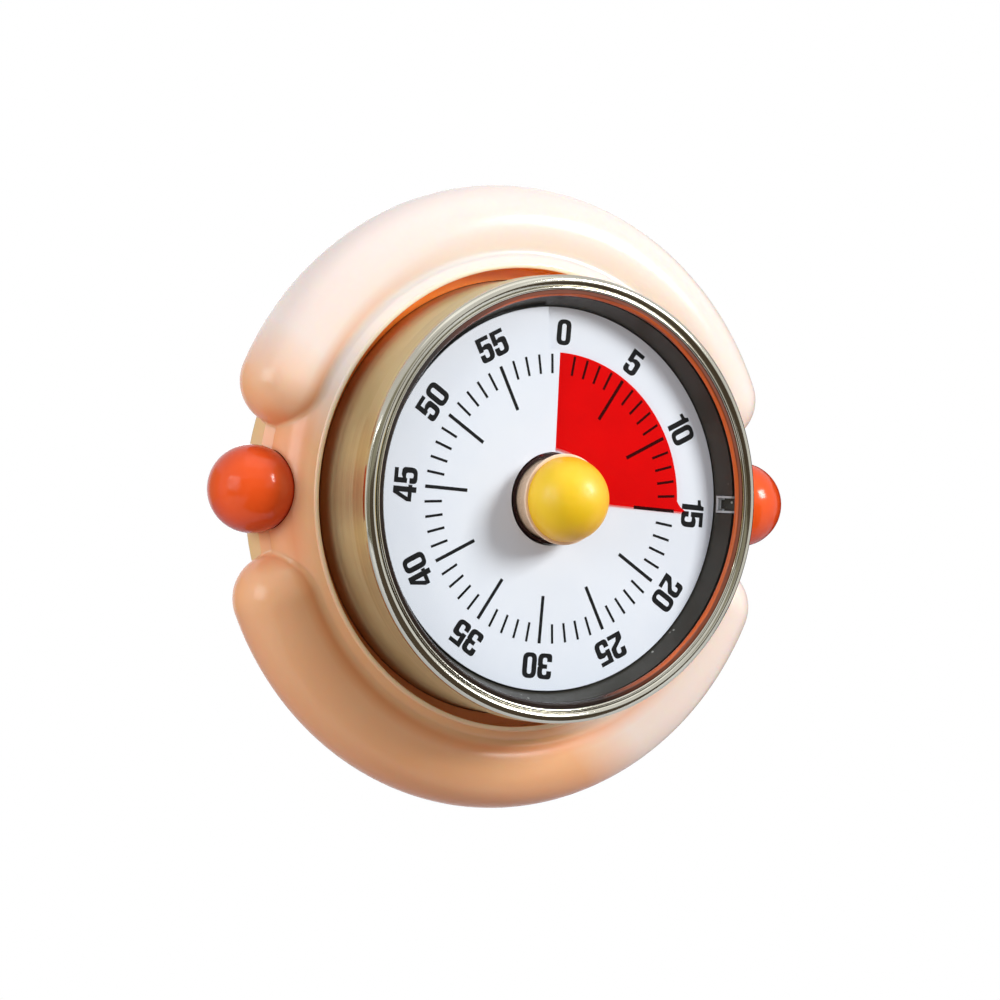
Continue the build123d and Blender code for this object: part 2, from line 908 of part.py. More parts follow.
def hammer():
    """Striker: a round head on an arm that swings about its pivot."""
    front = hammer_depth
    span_x = hammer_place[0] - hammer_pivot_place[0]
    span_z = hammer_place[1] - hammer_pivot_place[1]
    length = (span_x**2 + span_z**2) ** 0.5
    middle = (hammer_pivot_place[0] + span_x / 2, hammer_pivot_place[1] + span_z / 2)
    turn = degrees(atan2(span_x, span_z))
    arm = Rectangle(hammer_arm_width, length)
    body = slab(arm, front, front + hammer_arm_thickness, middle, turn)
    body += rod(hammer_radius, front, front + hammer_height, hammer_place)
    body += rod(hammer_hub, front, front + hammer_hub_height, hammer_pivot_place)
    return body - rod(hammer_pivot + shaft_gap, front, cup_depth, hammer_pivot_place)


# Knob and film -------------------------------------------------------------------------------


def knob():
    """Ball-shaped knob with a flat rear and a socket for the stem's peg."""
    ball = Pos(0, -case_depth, 0) * Sphere(knob_radius)
    ball &= rod(knob_radius, -knob_radius, knob_rear)
    socket_end = knob_rear - stem_peg_length - slide_gap
    return ball - rod(stem_peg + press_gap, socket_end, knob_rear)


def knob_stem():
    """Pale stem between the knob and the front plate, with a flange behind the knob."""
    rear = front_plate_depth - running_gap
    flange = rod(flange_radius, knob_rear, flange_rear)
    body = fillet(flange.edges(), flange_round) + rod(stem_radius, knob_rear, rear)
    body += rod(stem_peg, knob_rear - stem_peg_length, knob_rear)
    return body - rod(arbor_radius + press_gap, arbor_front - slide_gap, rear)


def main_arbor():
    """Shaft from the stem to the rear plate, with the collar that the spring winds on."""
    collar = spring_inner - spring_thickness / 2 - running_gap
    collar_rear = rear_plate_depth - barrel_wall - 2 * slide_gap
    body = rod(arbor_radius, arbor_front, rear_plate_depth + plate_thickness - slide_gap)
    return body + rod(collar, collet_rear, collar_rear)


def main_wheel():
    """Main wheel on the arbor."""
    bore = arbor_radius + press_gap
    rear = main_wheel_depth + wheel_thickness
    wheel = wheel_outline(main_teeth, main_module, main_wheel_hub, arms=5) - Circle(bore)
    body = slab(wheel, main_wheel_depth, rear, main_place, second_angle)
    return body + pipe(collet_radius, bore, rear, collet_rear)


def film_depth():
    """Depth of the film's front face at the zero mark, half a pitch in front of the dial."""
    dial_middle = dial_front() + dial_thickness / 2
    return dial_middle - dial_pitch / 2 - film_thickness / 2


def film_hub():
    """Collar of the film, which slides along the stem as it turns."""
    front = film_depth() - dial_pitch * film_lead / full_turn - hub_margin
    rear = front + dial_pitch + film_thickness + 2 * hub_margin
    return pipe(hub_radius, hub_bore, front, rear)


def red_film():
    """Red disc on its own screw surface, slit at its leading edge, which ends in a pointer."""
    front = film_depth()
    rear = front + film_thickness
    disc = screw_slice(hub_radius, film_radius, film_lead - full_turn, film_lead, front, rear)
    tip_start = film_lead - 2 * pointer_angle
    tip = screw_slice(film_radius, pointer_radius, tip_start, film_lead, front, rear)
    edge = (0.0, pointer_radius)
    foot = around(film_radius - pointer_root, -pointer_angle)
    root = around(film_radius - pointer_root, 0)
    hollow = around(film_radius + pointer_hollow, -pointer_angle / 3)
    outline = Polyline(foot, root, edge)
    outline += ThreePointArc(edge, hollow, foot)
    pointer = slab(make_face(outline), 0, case_depth, turn=film_lead + dial_turn)
    return disc + (tip & pointer)


def pieces():
    """Every named piece of the timer."""
    return {
        "ring_base": ring_base(),
        "upper_lobe": lobe(0, upper_lobe_angle),
        "lower_lobe": lobe(180, lower_lobe_angle),
        "side_balls": side_balls(),
        "rear_cover": rear_cover(),
        "cover_screws": cover_screws(),
        "magnets": magnets(),
        "cup": cup(),
        "bezel": bezel(),
        "lens_gasket": lens_gasket(),
        "lens": lens(),
        "wall_ring": wall_ring(),
        "dial": dial(),
        "dial_carrier": dial_carrier(),
        "front_plate": front_plate(),
        "rear_plate": rear_plate(),
        "pillars": pillars(),
        "spring_barrel": spring_barrel(),
        "mainspring": mainspring(),
        "bell": bell(),
        "bell_nut": bell_nut(),
        "hammer": hammer(),
        "knob": knob(),
        "knob_stem": knob_stem(),
        "main_arbor": main_arbor(),
        "main_wheel": main_wheel(),
        "second_wheel": second_wheel(),
        "third_wheel": third_wheel(),
        "escape_wheel": escape_wheel(),
        "balance": balance(),
        "film_hub": film_hub(),
        "red_film": red_film(),
    }


if __name__ == "__main__":
    os.makedirs("parts", exist_ok=True)
    for node, shape in pieces().items():
        solids = Compound(children=shape) if isinstance(shape, list) else shape
        export_step(solids, f"parts/{node}.step")
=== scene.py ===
"""Looks of a wind-up visual countdown timer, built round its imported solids.

The frame is in metres with Z up and X to the right. The dial looks towards -Y and the flat
back lies on Y = 0. Sizes are written in millimetres and turned into metres by MM. A depth is
measured from the front of the bezel towards the back, and a clock angle clockwise from the
top as the dial is read.
"""

import logging
import math
from dataclasses import dataclass, replace
from enum import Enum
from typing import Any

import bmesh
import bpy
import numpy as np
from mathutils import Matrix, Vector


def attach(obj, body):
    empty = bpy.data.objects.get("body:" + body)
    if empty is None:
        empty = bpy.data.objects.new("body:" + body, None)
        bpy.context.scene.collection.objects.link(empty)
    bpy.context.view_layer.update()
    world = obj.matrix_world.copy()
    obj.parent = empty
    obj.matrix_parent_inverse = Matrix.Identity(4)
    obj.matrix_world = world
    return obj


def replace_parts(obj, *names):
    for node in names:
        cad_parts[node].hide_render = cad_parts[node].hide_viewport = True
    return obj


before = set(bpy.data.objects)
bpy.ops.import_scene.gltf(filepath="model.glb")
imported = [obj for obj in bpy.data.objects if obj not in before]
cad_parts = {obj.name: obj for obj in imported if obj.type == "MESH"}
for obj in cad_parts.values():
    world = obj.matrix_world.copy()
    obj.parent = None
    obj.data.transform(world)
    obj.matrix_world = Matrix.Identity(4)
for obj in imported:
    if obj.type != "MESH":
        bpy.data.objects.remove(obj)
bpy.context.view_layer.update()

MM = 0.001
CASE_DEPTH = 31.6  # from the front of the bezel to the flat back
ONES = (1.0, 1.0, 1.0)  # white, or a size left as it is
GRAIN = (0.3, 0.7)  # noise values that a fine grain spans
PATCHES = (0.35, 0.7)  # noise values that faint patches span
ROUGHER = 1.5  # roughness of a grain's high spots over that of its low ones
WELD = 1e-8  # metres within which two points of a turned shell are one
LOG = logging.getLogger("timer")

Colour = tuple[float, float, float]
Place = tuple[float, float, float]
Point = tuple[float, float]
Corner = tuple[float, ...]  # x, y and, where the outline bends, the radius that rounds it
Socket = bpy.types.NodeSocket


def display(*values: int) -> Colour:
    """Linear colour of a display colour.

    Args:
        values: Red, green and blue, 0 to 255.

    Returns:
        The colour as shaders take it.
    """
    shares = (value / 255 for value in values)
    red, green, blue = (
        share / 12.92 if share <= 0.04045 else ((share + 0.055) / 1.055) ** 2.4 for share in shares
    )
    return (red, green, blue)


class Wiring:
    """Builds a node tree with short calls."""

    def __init__(self, tree: bpy.types.NodeTree) -> None:
        """Keeps the tree that the nodes go into."""
        self.tree = tree

    def feed(self, socket: Socket, value: Any) -> None:
        """Links another node's output to a socket, or sets the socket's plain value.

        Args:
            socket: Input to fill.
            value: Output socket, number, colour or vector.
        """
        if isinstance(value, Socket):
            self.tree.links.new(value, socket)
        elif socket.type == "RGBA" and len(value) == 3:
            socket.default_value = (*value, 1.0)
        else:
            socket.default_value = value

    def node(self, kind: str, inputs: dict[Any, Any] | None = None, **settings: Any) -> Any:
        """Adds a node.

        Args:
            kind: Blender's name of the node type.
            inputs: Values or sockets by input name or number.
            settings: Properties of the node.

        Returns:
            The new node.
        """
        made = self.tree.nodes.new(kind)
        for key, value in settings.items():
            setattr(made, key, value)
        for key, value in (inputs or {}).items():
            self.feed(made.inputs[key], value)
        return made

    def math(self, operation: str, *values: Any) -> Socket:
        """Adds a Math node and gives its result."""
        return self.node("ShaderNodeMath", dict(enumerate(values)), operation=operation).outputs[0]

    def join(self, x: Any = 0.0, y: Any = 0.0, z: Any = 0.0) -> Socket:
        """Vector of three values."""
        return self.node("ShaderNodeCombineXYZ", {0: x, 1: y, 2: z}).outputs[0]


class Shading(Wiring):
    """Node calls that surface finishes share."""

    def place(self) -> Socket:
        """Position on the piece, in metres."""
        return self.node("ShaderNodeTexCoord").outputs["Object"]

    def axes(self) -> tuple[Socket, Socket, Socket]:
        """X, Y and Z of the position."""
        split = self.node("ShaderNodeSeparateXYZ", {0: self.place()})
        return (split.outputs[0], split.outputs[1], split.outputs[2])

    def radius(self) -> Socket:
        """Distance from the dial's axis, in metres.

        Returns:
            The distance.
        """
        across, _, upward = self.axes()
        square = self.math("MULTIPLY_ADD", across, across, self.math("MULTIPLY", upward, upward))
        return self.math("SQRT", square)

    def noise(self, scale: float, detail: float = 3.0, vector: Socket | None = None) -> Socket:
        """Noise of 0 to 1 with scale cells per metre or, where it is given, per vector unit."""
        inputs = {0: vector or self.place(), "Scale": scale, "Detail": detail, "Roughness": 0.55}
        return self.node("ShaderNodeTexNoise", inputs).outputs["Fac"]

    def span(
        self, value: Socket, low: float, high: float, start: float = 0.0, end: float = 1.0
    ) -> Socket:
        """Maps a value so that low gives start and high gives end, and holds it beyond them."""
        inputs = {"Value": value, 1: low, 2: high, 3: start, 4: end}
        return self.node("ShaderNodeMapRange", inputs, clamp=True).outputs["Result"]

    def ramp(
        self, length: Socket, low: float, high: float, start: float = 0.0, end: float = 1.0
    ) -> Socket:
        """Same as span for a length, with its low and high in millimetres."""
        return self.span(length, low * MM, high * MM, start, end)

    def away(self, length: Socket, middle: float) -> Socket:
        """Distance of a length from a middle one given in millimetres."""
        return self.math("ABSOLUTE", self.math("SUBTRACT", length, middle * MM))

    def facing(self) -> Socket:
        """Share by which the surface turns away from the viewer."""
        return self.node("ShaderNodeLayerWeight", {"Blend": 0.5}).outputs["Facing"]

    def blend(self, share: Any, first: Any, second: Any) -> Socket:
        """Mixes two colours."""
        inputs = {0: share, 6: first, 7: second}
        return self.node("ShaderNodeMix", inputs, data_type="RGBA").outputs[2]

    def scaled(self, colour: Any, share: Socket) -> Socket:
        """Colour times a share."""
        inputs = {0: colour, 1: share}
        return self.node("ShaderNodeVectorMath", inputs, operation="MULTIPLY").outputs[0]

    def bump(self, height: Socket, distance: float) -> Socket:
        """Normal of a surface raised by a height of 0 to 1 times a distance in millimetres."""
        inputs = {"Height": height, "Distance": distance * MM, "Strength": 1.0}
        return self.node("ShaderNodeBump", inputs).outputs["Normal"]

    def solid(self, inputs: dict[str, Any]) -> Socket:
        """Adds a Principled shader."""
        return self.node("ShaderNodeBsdfPrincipled", inputs).outputs[0]

    def clear(self, colour: Any) -> Socket:
        """Adds a shader that lets coloured light straight through."""
        return self.node("ShaderNodeBsdfTransparent", {"Color": colour}).outputs[0]

    def layer(self, share: Any, under: Socket, over: Socket) -> Socket:
        """Mixes two shaders."""
        return self.node("ShaderNodeMixShader", {0: share, 1: under, 2: over}).outputs[0]


@dataclass(frozen=True)
class Finish:
    """A surface finish; each kind wires its own shader."""

    name: str

    def shader(self, nodes: Shading) -> Socket:
        """Wires the finish and gives its shader."""
        raise NotImplementedError

    def material(self) -> bpy.types.Material:
        """Gives the finish's material, made at its first use.

        Returns:
            The material.
        """
        made = bpy.data.materials.get(self.name)
        if made is None:
            made = bpy.data.materials.new(self.name)
            made.use_nodes = True
            made.node_tree.nodes.clear()
            nodes = Shading(made.node_tree)
            nodes.node("ShaderNodeOutputMaterial", {"Surface": self.shader(nodes)})
        return made


@dataclass(frozen=True)
class Plastic(Finish):
    """Moulded plastic with faint clouds, a satin ripple and a fine grain."""

    colour: Colour
    deep: Colour
    gloss: float = 0.16
    glow: float = 0.0
    shine: float = 0.5
    cloud: float = 70.0
    cloud_span: Point = (0.35, 0.75)
    cloud_share: float = 0.35
    grain: float = 900.0
    ripple: float = 0.02
    rim: Colour | None = None  # painted shade: a richer, darker colour where the surface turns away
    rim_span: Point = (0.2, 0.9)
    rim_share: float = 0.85

    def tone(self, nodes: Shading) -> Socket:
        """Base colour: the main colour with clouds of the deeper one, and painted shade at the rim.

        Args:
            nodes: Tree of the material.

        Returns:
            The colour.
        """
        clouds = nodes.span(nodes.noise(self.cloud), *self.cloud_span, end=self.cloud_share)
        base = nodes.blend(clouds, self.colour, self.deep)
        if self.rim is None:
            return base
        # Painted shade: the rim colour where the surface turns from the viewer.
        turned = nodes.span(nodes.facing(), *self.rim_span, end=self.rim_share)
        return nodes.blend(turned, base, self.rim)

    def shader(self, nodes: Shading) -> Socket:
        """Wires the plastic.

        Args:
            nodes: Tree of the material.

        Returns:
            The shader.
        """
        rough = self.gloss * ROUGHER
        inputs = {
            "Base Color": self.tone(nodes),
            "Roughness": nodes.span(nodes.noise(self.grain), *GRAIN, self.gloss, rough),
            "IOR": 1.5,
            "Specular IOR Level": self.shine,
            "Normal": nodes.bump(nodes.noise(self.cloud * 3, detail=2.0), self.ripple),
            "Subsurface Weight": self.glow,
            "Subsurface Radius": (1.0, 0.45, 0.22),
            "Subsurface Scale": 0.003,
        }
        return nodes.solid(inputs)


@dataclass(frozen=True, kw_only=True)
class RingPlastic(Plastic):
    """Peach ring plastic: painted light to the upper right, warm painted shade and glow in the
    well.
    """

    # Painted light: the colour that the ring turns to towards the upper right.
    pale: Colour
    pale_span: Point = (-24.0, -12.0)  # where the painted light starts and ends, towards the upper right
    # Painted shade inside the well, and a painted glow towards its top.
    well: Colour
    well_top: Colour
    well_heights: Point = (5.0, 30.0)  # where the painted glow starts and is full
    well_radius: float = 40.5
    well_soft: float = 0.08
    # Painted highlight: a pale band along the lip's inner edge.
    lip: Colour
    lip_radius: float = 41.5
    lip_width: float = 0.5
    lip_share: float = 0.7
    # Painted shade: a duller tan on the base's outer side, behind its front.
    edge: Colour
    edge_radius: float = 47.7
    edge_depth: float = 24.0
    edge_soft: Point = (0.2, 0.1)  # half widths of its start, outwards and backwards
    # Painted shade along the valley where the lobes meet the ring.
    crease: Colour
    crease_radius: float = 44.6
    crease_half: float = 2.2
    crease_end: float = 20.0  # where the painted shade's share has fallen, towards the upper right
    crease_shares: Point = (0.75, 0.05)

    def tone(self, nodes: Shading) -> Socket:
        """Base colour with painted light and shade by the distance from the dial's axis.

        Args:
            nodes: Tree of the material.

        Returns:
            The colour.
        """
        radius = nodes.radius()
        across, depth, upward = nodes.axes()
        slant = nodes.math("MULTIPLY", nodes.math("ADD", across, upward), math.sqrt(0.5))
        # Painted light: paler towards the upper right.
        base = nodes.blend(nodes.ramp(slant, *self.pale_span), super().tone(nodes), self.pale)
        # Painted shade in the valley, fading towards the upper right.
        valley = nodes.ramp(nodes.away(radius, self.crease_radius), 0.0, self.crease_half, 1.0, 0.0)
        fade = nodes.ramp(slant, self.pale_span[0], self.crease_end, *self.crease_shares)
        base = nodes.blend(nodes.math("MULTIPLY", valley, fade), base, self.crease)
        # Painted highlight along the lip.
        start = self.lip_radius - self.lip_width
        lip = nodes.ramp(radius, start, self.lip_radius, self.lip_share, 0.0)
        base = nodes.blend(lip, base, self.lip)
        # Painted shade inside the well, turning to a painted glow higher up.
        inside = nodes.ramp(radius, self.well_radius - self.well_soft, self.well_radius, 1.0, 0.0)
        high = nodes.ramp(upward, *self.well_heights)
        lined = nodes.blend(inside, base, nodes.blend(high, self.well, self.well_top))
        # Painted shade on the base's outer side.
        out, back = self.edge_soft
        outside = nodes.ramp(radius, self.edge_radius - out, self.edge_radius + out)
        front = self.edge_depth - CASE_DEPTH
        behind = nodes.ramp(depth, front - back, front + back)
        return nodes.blend(nodes.math("MULTIPLY", outside, behind), lined, self.edge)


@dataclass(frozen=True, kw_only=True)
class GasketRubber(Plastic):
    """Soft hoop, brown with an amber line, and with painted shade at the left."""

    # Painted shade: the colour at the left of the hoop.
    dark: Colour
    dark_span: Point = (-12.0, 8.0)
    dark_tilt: float = 0.6
    line: Colour
    line_radius: float = 35.45
    line_width: float = 0.3
    line_soft: float = 0.15
    wander: float = 0.2  # how far the line strays to either side
    wander_scale: float = 55.0

    def tone(self, nodes: Shading) -> Socket:
        """Base colour by the place round and across the hoop, with painted shade at the left.

        Args:
            nodes: Tree of the material.

        Returns:
            The colour.
        """
        across, _, upward = nodes.axes()
        stray = self.wander * MM
        wander = nodes.span(nodes.noise(self.wander_scale, detail=2.0), *GRAIN, -stray, stray)
        away = nodes.away(nodes.math("ADD", nodes.radius(), wander), self.line_radius)
        half = self.line_width / 2
        lined = nodes.ramp(away, half, half + self.line_soft, 1.0, 0.0)
        amber = nodes.blend(lined, super().tone(nodes), self.line)
        # Painted shade towards the left.
        slant = nodes.math("MULTIPLY_ADD", upward, self.dark_tilt, across)
        return nodes.blend(nodes.ramp(slant, *self.dark_span), self.dark, amber)


@dataclass(frozen=True)
class SpeckledPlastic(Plastic):
    """Dark plastic with a few pale specks of dust."""

    speck: Colour = (0.5, 0.5, 0.45)
    speck_scale: float = 620.0
    speck_size: float = 0.1
    speck_soft: float = 0.06
    swarm_scale: float = 155.0
    swarm_span: Point = (0.6, 0.64)  # noise values between which specks start to show

    def tone(self, nodes: Shading) -> Socket:
        """Base colour with specks.

        Args:
            nodes: Tree of the material.

        Returns:
            The colour.
        """
        inputs = {"Vector": nodes.place(), "Scale": self.speck_scale}
        cells = nodes.node("ShaderNodeTexVoronoi", inputs).outputs["Distance"]
        swarm = nodes.span(nodes.noise(self.swarm_scale, detail=1.0), *self.swarm_span)
        end = self.speck_size + self.speck_soft
        dots = nodes.span(cells, self.speck_size, end, 1.0, 0.0)
        return nodes.blend(nodes.math("MULTIPLY", dots, swarm), super().tone(nodes), self.speck)


@dataclass(frozen=True)
class Sheet(Finish):
    """Smooth printed sheet with a faint mottle."""

    colour: Colour
    shade: Colour
    gloss: float = 0.38
    haze: float = 0.12  # how much rougher the tooth makes it
    shine: float = 0.4
    mottle: float = 240.0
    mottle_share: float = 0.5
    tooth: float = 2600.0
    tooth_height: float = 0.004

    def shader(self, nodes: Shading) -> Socket:
        """Wires the sheet.

        Args:
            nodes: Tree of the material.

        Returns:
            The shader.
        """
        mottle = nodes.noise(self.mottle, detail=4.0)
        mottle = nodes.span(mottle, *PATCHES, end=self.mottle_share)
        tooth = nodes.noise(self.tooth, detail=2.0)
        inputs = {
            "Base Color": nodes.blend(mottle, self.colour, self.shade),
            "Roughness": nodes.span(tooth, *GRAIN, self.gloss, self.gloss + self.haze),
            "IOR": 1.46,
            "Specular IOR Level": self.shine,
            "Normal": nodes.bump(tooth, self.tooth_height),
        }
        return nodes.solid(inputs)


class Brush(Enum):
    """Way that a metal is brushed, with the cells per metre of its grain along that way."""

    AROUND = 14.0  # the dial's axis
    STRAIGHT = 30.0  # X


@dataclass(frozen=True)
class Metal(Finish):
    """Brushed, turned or polished metal."""

    colour: Colour
    tarnish: Colour
    gloss: float = 0.25
    brush: Brush = Brush.AROUND
    lines: float = 2600.0
    score: float = 0.002  # depth of the brush lines
    streak: float = 0.86  # darkest share of the colour along them
    stain: float = 45.0
    stain_span: Point = (0.4, 0.7)

    def grain(self, nodes: Shading) -> Socket:
        """Noise drawn out along the brush's way.

        Args:
            nodes: Tree of the material.

        Returns:
            The noise.
        """
        across, depth, upward = nodes.axes()
        along, fine = self.brush.value, self.lines
        if self.brush is Brush.AROUND:
            turn = nodes.math("ADD", across, upward)
            scales = ((nodes.radius(), fine), (depth, fine), (turn, along))
        else:
            scales = ((across, along), (depth, fine), (upward, fine))
        drawn = nodes.join(*(nodes.math("MULTIPLY", *scale) for scale in scales))
        return nodes.noise(1.0, vector=drawn)

    def tone(self, nodes: Shading) -> Socket:
        """Base colour with tarnished patches."""
        stain = nodes.span(nodes.noise(self.stain, detail=4.0), *self.stain_span)
        return nodes.blend(stain, self.colour, self.tarnish)

    def haze(self, nodes: Shading, lines: Socket) -> Socket:
        """Roughness between and along the brush lines."""
        return nodes.span(lines, *GRAIN, self.gloss, self.gloss * ROUGHER)

    def shader(self, nodes: Shading) -> Socket:
        """Wires the metal.

        Args:
            nodes: Tree of the material.

        Returns:
            The shader.
        """
        lines = self.grain(nodes)
        streak = nodes.span(lines, *GRAIN, start=self.streak)
        inputs = {
            "Base Color": nodes.scaled(self.tone(nodes), streak),
            "Metallic": 1.0,
            "Roughness": self.haze(nodes, lines),
            "Normal": nodes.bump(lines, self.score),
        }
        return nodes.solid(inputs)


@dataclass(frozen=True, kw_only=True)
class Trim(Metal):
    """Polished hoop with a brushed skirt behind it."""

    skirt: Colour
    skirt_gloss: float = 0.42
    skirt_depth: float = 1.5
    skirt_soft: float = 0.2

    def behind(self, nodes: Shading) -> Socket:
        """Share of the skirt, 0 on the polished front.

        Args:
            nodes: Tree of the material.

        Returns:
            The share.
        """
        _, depth, _ = nodes.axes()
        front = self.skirt_depth - CASE_DEPTH
        return nodes.ramp(depth, front - self.skirt_soft, front + self.skirt_soft)

    def tone(self, nodes: Shading) -> Socket:
        """Base colour of the front and of the skirt."""
        return nodes.blend(self.behind(nodes), super().tone(nodes), self.skirt)

    def haze(self, nodes: Shading, lines: Socket) -> Socket:
        """Roughness of the front and of the skirt."""
        extra = nodes.math("MULTIPLY", self.behind(nodes), self.skirt_gloss - self.gloss)
        return nodes.math("ADD", super().haze(nodes, lines), extra)


@dataclass(frozen=True)
class ClearWindow(Finish):
    """Clear moulded sheet: seen through, glossy, and whitish where it is seen edge on."""

    tint: Colour = (0.985, 0.99, 0.99)
    haze: Colour = (0.9, 0.92, 0.94)
    gloss: float = 0.03
    scuff: float = 900.0
    scuffed: float = 0.06  # roughness where it is scuffed
    flat_share: float = 0.003
    edge_share: float = 0.55
    edge_start: float = 0.55  # facing value where the whitish edge starts
    # The key's fields set a painted highlight, a glint outline round the key.
    key_share: float = 0.6
    key_half: float = 1.5  # half of the key's width
    key_edge: float = 0.35  # width of its painted glint outline
    key_soft: float = 0.05
    key_depths: Point = (2.1, 4.9)

    def shader(self, nodes: Shading) -> Socket:
        """Wires the window.

        Args:
            nodes: Tree of the material.

        Returns:
            The shader.
        """
        scuff = nodes.span(nodes.noise(self.scuff), *GRAIN, self.gloss, self.scuffed)
        skin = nodes.solid({"Base Color": self.haze, "Roughness": scuff, "IOR": 1.49})
        share = nodes.span(nodes.facing(), self.edge_start, 1.0, self.flat_share, self.edge_share)
        # Painted highlight: a pale glint outline round the key.
        share = nodes.math("MAXIMUM", share, self.outlined(nodes))
        return nodes.layer(share, nodes.clear(self.tint), skin)

    def outlined(self, nodes: Shading) -> Socket:
        """Share of the painted glint outline along the key's two sides and its rear end.

        Args:
            nodes: Tree of the material.

        Returns:
            The share.
        """
        _, depth, upward = nodes.axes()
        front, rear = (depth - CASE_DEPTH for depth in self.key_depths)
        start, end = self.key_half - self.key_edge, rear - self.key_edge
        sides = nodes.ramp(nodes.away(upward, 0.0), start - self.key_soft, start)
        ends = nodes.ramp(depth, end - self.key_soft, end)
        front += self.key_soft
        keyed = nodes.ramp(depth, front, front + self.key_soft, end=self.key_share)
        return nodes.math("MULTIPLY", nodes.math("MAXIMUM", sides, ends), keyed)


@dataclass(frozen=True)
class TintedFilm(Finish):
    """Coloured film that shows the marks under it, clear round its collar."""

    colour: Colour
    clear_radius: float = 8.9
    clear_soft: float = 0.05
    mottle: float = 180.0
    mottle_low: float = 0.98  # darkest share of the colour
    body: float = 0.02  # share of the film that isn't seen through

    def shader(self, nodes: Shading) -> Socket:
        """Wires the film.

        Args:
            nodes: Tree of the material.

        Returns:
            The shader.
        """
        edge = self.clear_radius - self.clear_soft
        inside = nodes.ramp(nodes.radius(), edge, self.clear_radius, 1.0, 0.0)
        clouds = nodes.span(nodes.noise(self.mottle), *PATCHES, start=self.mottle_low)
        tinted = nodes.scaled(self.colour, clouds)
        through = nodes.clear(nodes.blend(inside, tinted, ONES))
        skin = {"Base Color": tinted, "Roughness": 0.4, "Specular IOR Level": 0.1}
        return nodes.layer(self.body, through, nodes.solid(skin))


PEACH = RingPlastic(
    "moulded peach",
    colour=display(254, 195, 148),
    deep=display(252, 180, 126),
    gloss=0.18,
    glow=0.35,
    # rim: painted shade where the surface turns away
    rim=display(236, 158, 108),
    # pale: painted light towards the upper right
    pale=display(251, 231, 220),
    # well: painted shade inside the well; the glow above it is painted light
    well=display(232, 140, 76),
    well_top=display(255, 132, 30),
    # lip: painted highlight along the lip
    lip=display(255, 230, 204),
    # edge: painted shade on the base's outer side
    edge=display(236, 200, 150),
    # crease: painted shade in the valley round the lobes
    crease=display(242, 160, 110),
)
# The lobes reach past the ring's edge, so its paler tone, painted shade of the outer side, would
# start beyond them.
LOBE_PEACH = replace(PEACH, name="moulded peach lobes", edge_radius=100.0, shine=0.35)
ORANGE = Plastic(
    "glossy orange",
    display(255, 96, 34),
    display(246, 76, 20),
    gloss=0.13,
    glow=0.12,
    shine=0.3,
    # rim: painted shade where the surface turns away
    rim=display(184, 38, 4),
)
COVER = Plastic("satin tan", display(206, 178, 140), display(190, 160, 122), gloss=0.42)
BLACK = SpeckledPlastic("dark grey plastic", display(52, 49, 40), display(40, 37, 32), gloss=0.3)
HUB = Plastic("dark red collar", display(44, 14, 13), display(30, 9, 9), gloss=0.3, shine=0.2)
YELLOW = Plastic(
    "glossy yellow",
    display(255, 210, 12),
    display(255, 196, 6),
    gloss=0.36,
    glow=0.2,
    shine=0.65,
    # rim: painted shade where the surface turns away
    rim=display(246, 176, 10),
)
PALE = Plastic("pale stem", display(246, 214, 184), display(232, 192, 158), gloss=0.2)
AMBER = GasketRubber(
    "amber gasket",
    display(122, 60, 34),
    display(92, 44, 26),
    gloss=0.18,
    cloud=90.0,
    # dark: painted shade at the left
    dark=display(36, 24, 18),
    line=display(208, 92, 30),
)
CARD = Sheet("printed white sheet", display(243, 248, 255), display(238, 244, 253), shine=0.2)
INK = Sheet("black ink", display(20, 20, 21), display(28, 28, 29), gloss=0.5, shine=0.08)
FILM = TintedFilm("red film", display(255, 3, 3))
CLEAR = ClearWindow("clear window")
CUP_STEEL = Metal(
    "brushed cup steel",
    display(214, 204, 164),
    display(196, 182, 138),
    gloss=0.42,
    lines=5200.0,
    score=0.001,
)
CHROME = Trim(
    "bezel chrome",
    display(200, 198, 186),
    display(182, 178, 164),
    gloss=0.09,
    score=0.0005,
    skirt=display(204, 192, 150),
)
ZINC = Metal("zinc screws", display(205, 205, 202), display(180, 182, 178), gloss=0.3)
STEEL = Metal(
    "plate steel", display(188, 188, 190), display(168, 168, 170), gloss=0.3, brush=Brush.STRAIGHT
)
BRASS = Metal("cut brass", display(212, 178, 98), display(190, 150, 76), gloss=0.26)
MAGNET = Metal("nickelled magnet", display(150, 150, 154), display(126, 126, 130), gloss=0.34)
FLOOR = Plastic("pale floor", (0.9, 0.9, 0.9), (0.88, 0.88, 0.88), gloss=0.6)


def around(radius: float, angle: float, along: float) -> Vector:
    """Place in metres at a distance from the dial's axis, a clock angle and a Y."""
    return Vector((radius * math.sin(angle), along, radius * math.cos(angle))) * MM


def added(name: str, data: Any) -> Any:
    """Puts a new object into the scene and gives it.

    Args:
        name: Name of the object.
        data: Its mesh, light or camera.

    Returns:
        The object.
    """
    made = bpy.data.objects.new(name, data)
    bpy.context.scene.collection.objects.link(made)
    return made


def as_mesh(name: str, shell: bmesh.types.BMesh, closed: bool = True) -> bpy.types.Mesh:
    """Turns a working mesh into a plain one.

    Args:
        name: Name of the plain mesh.
        shell: Working mesh, used up here.
        closed: Whether it has an inside, so that its faces are turned outwards.

    Returns:
        The plain mesh.
    """
    if closed:
        bmesh.ops.recalc_face_normals(shell, faces=shell.faces)
    mesh = bpy.data.meshes.new(name)
    shell.to_mesh(mesh)
    shell.free()
    return mesh


def evaluated(made: bpy.types.Object) -> bpy.types.Mesh:
    """Mesh of an object as its modifiers leave it.

    Args:
        made: The object.

    Returns:
        The mesh.
    """
    bpy.context.view_layer.update()
    result = made.evaluated_get(bpy.context.evaluated_depsgraph_get())
    return bpy.data.meshes.new_from_object(result)


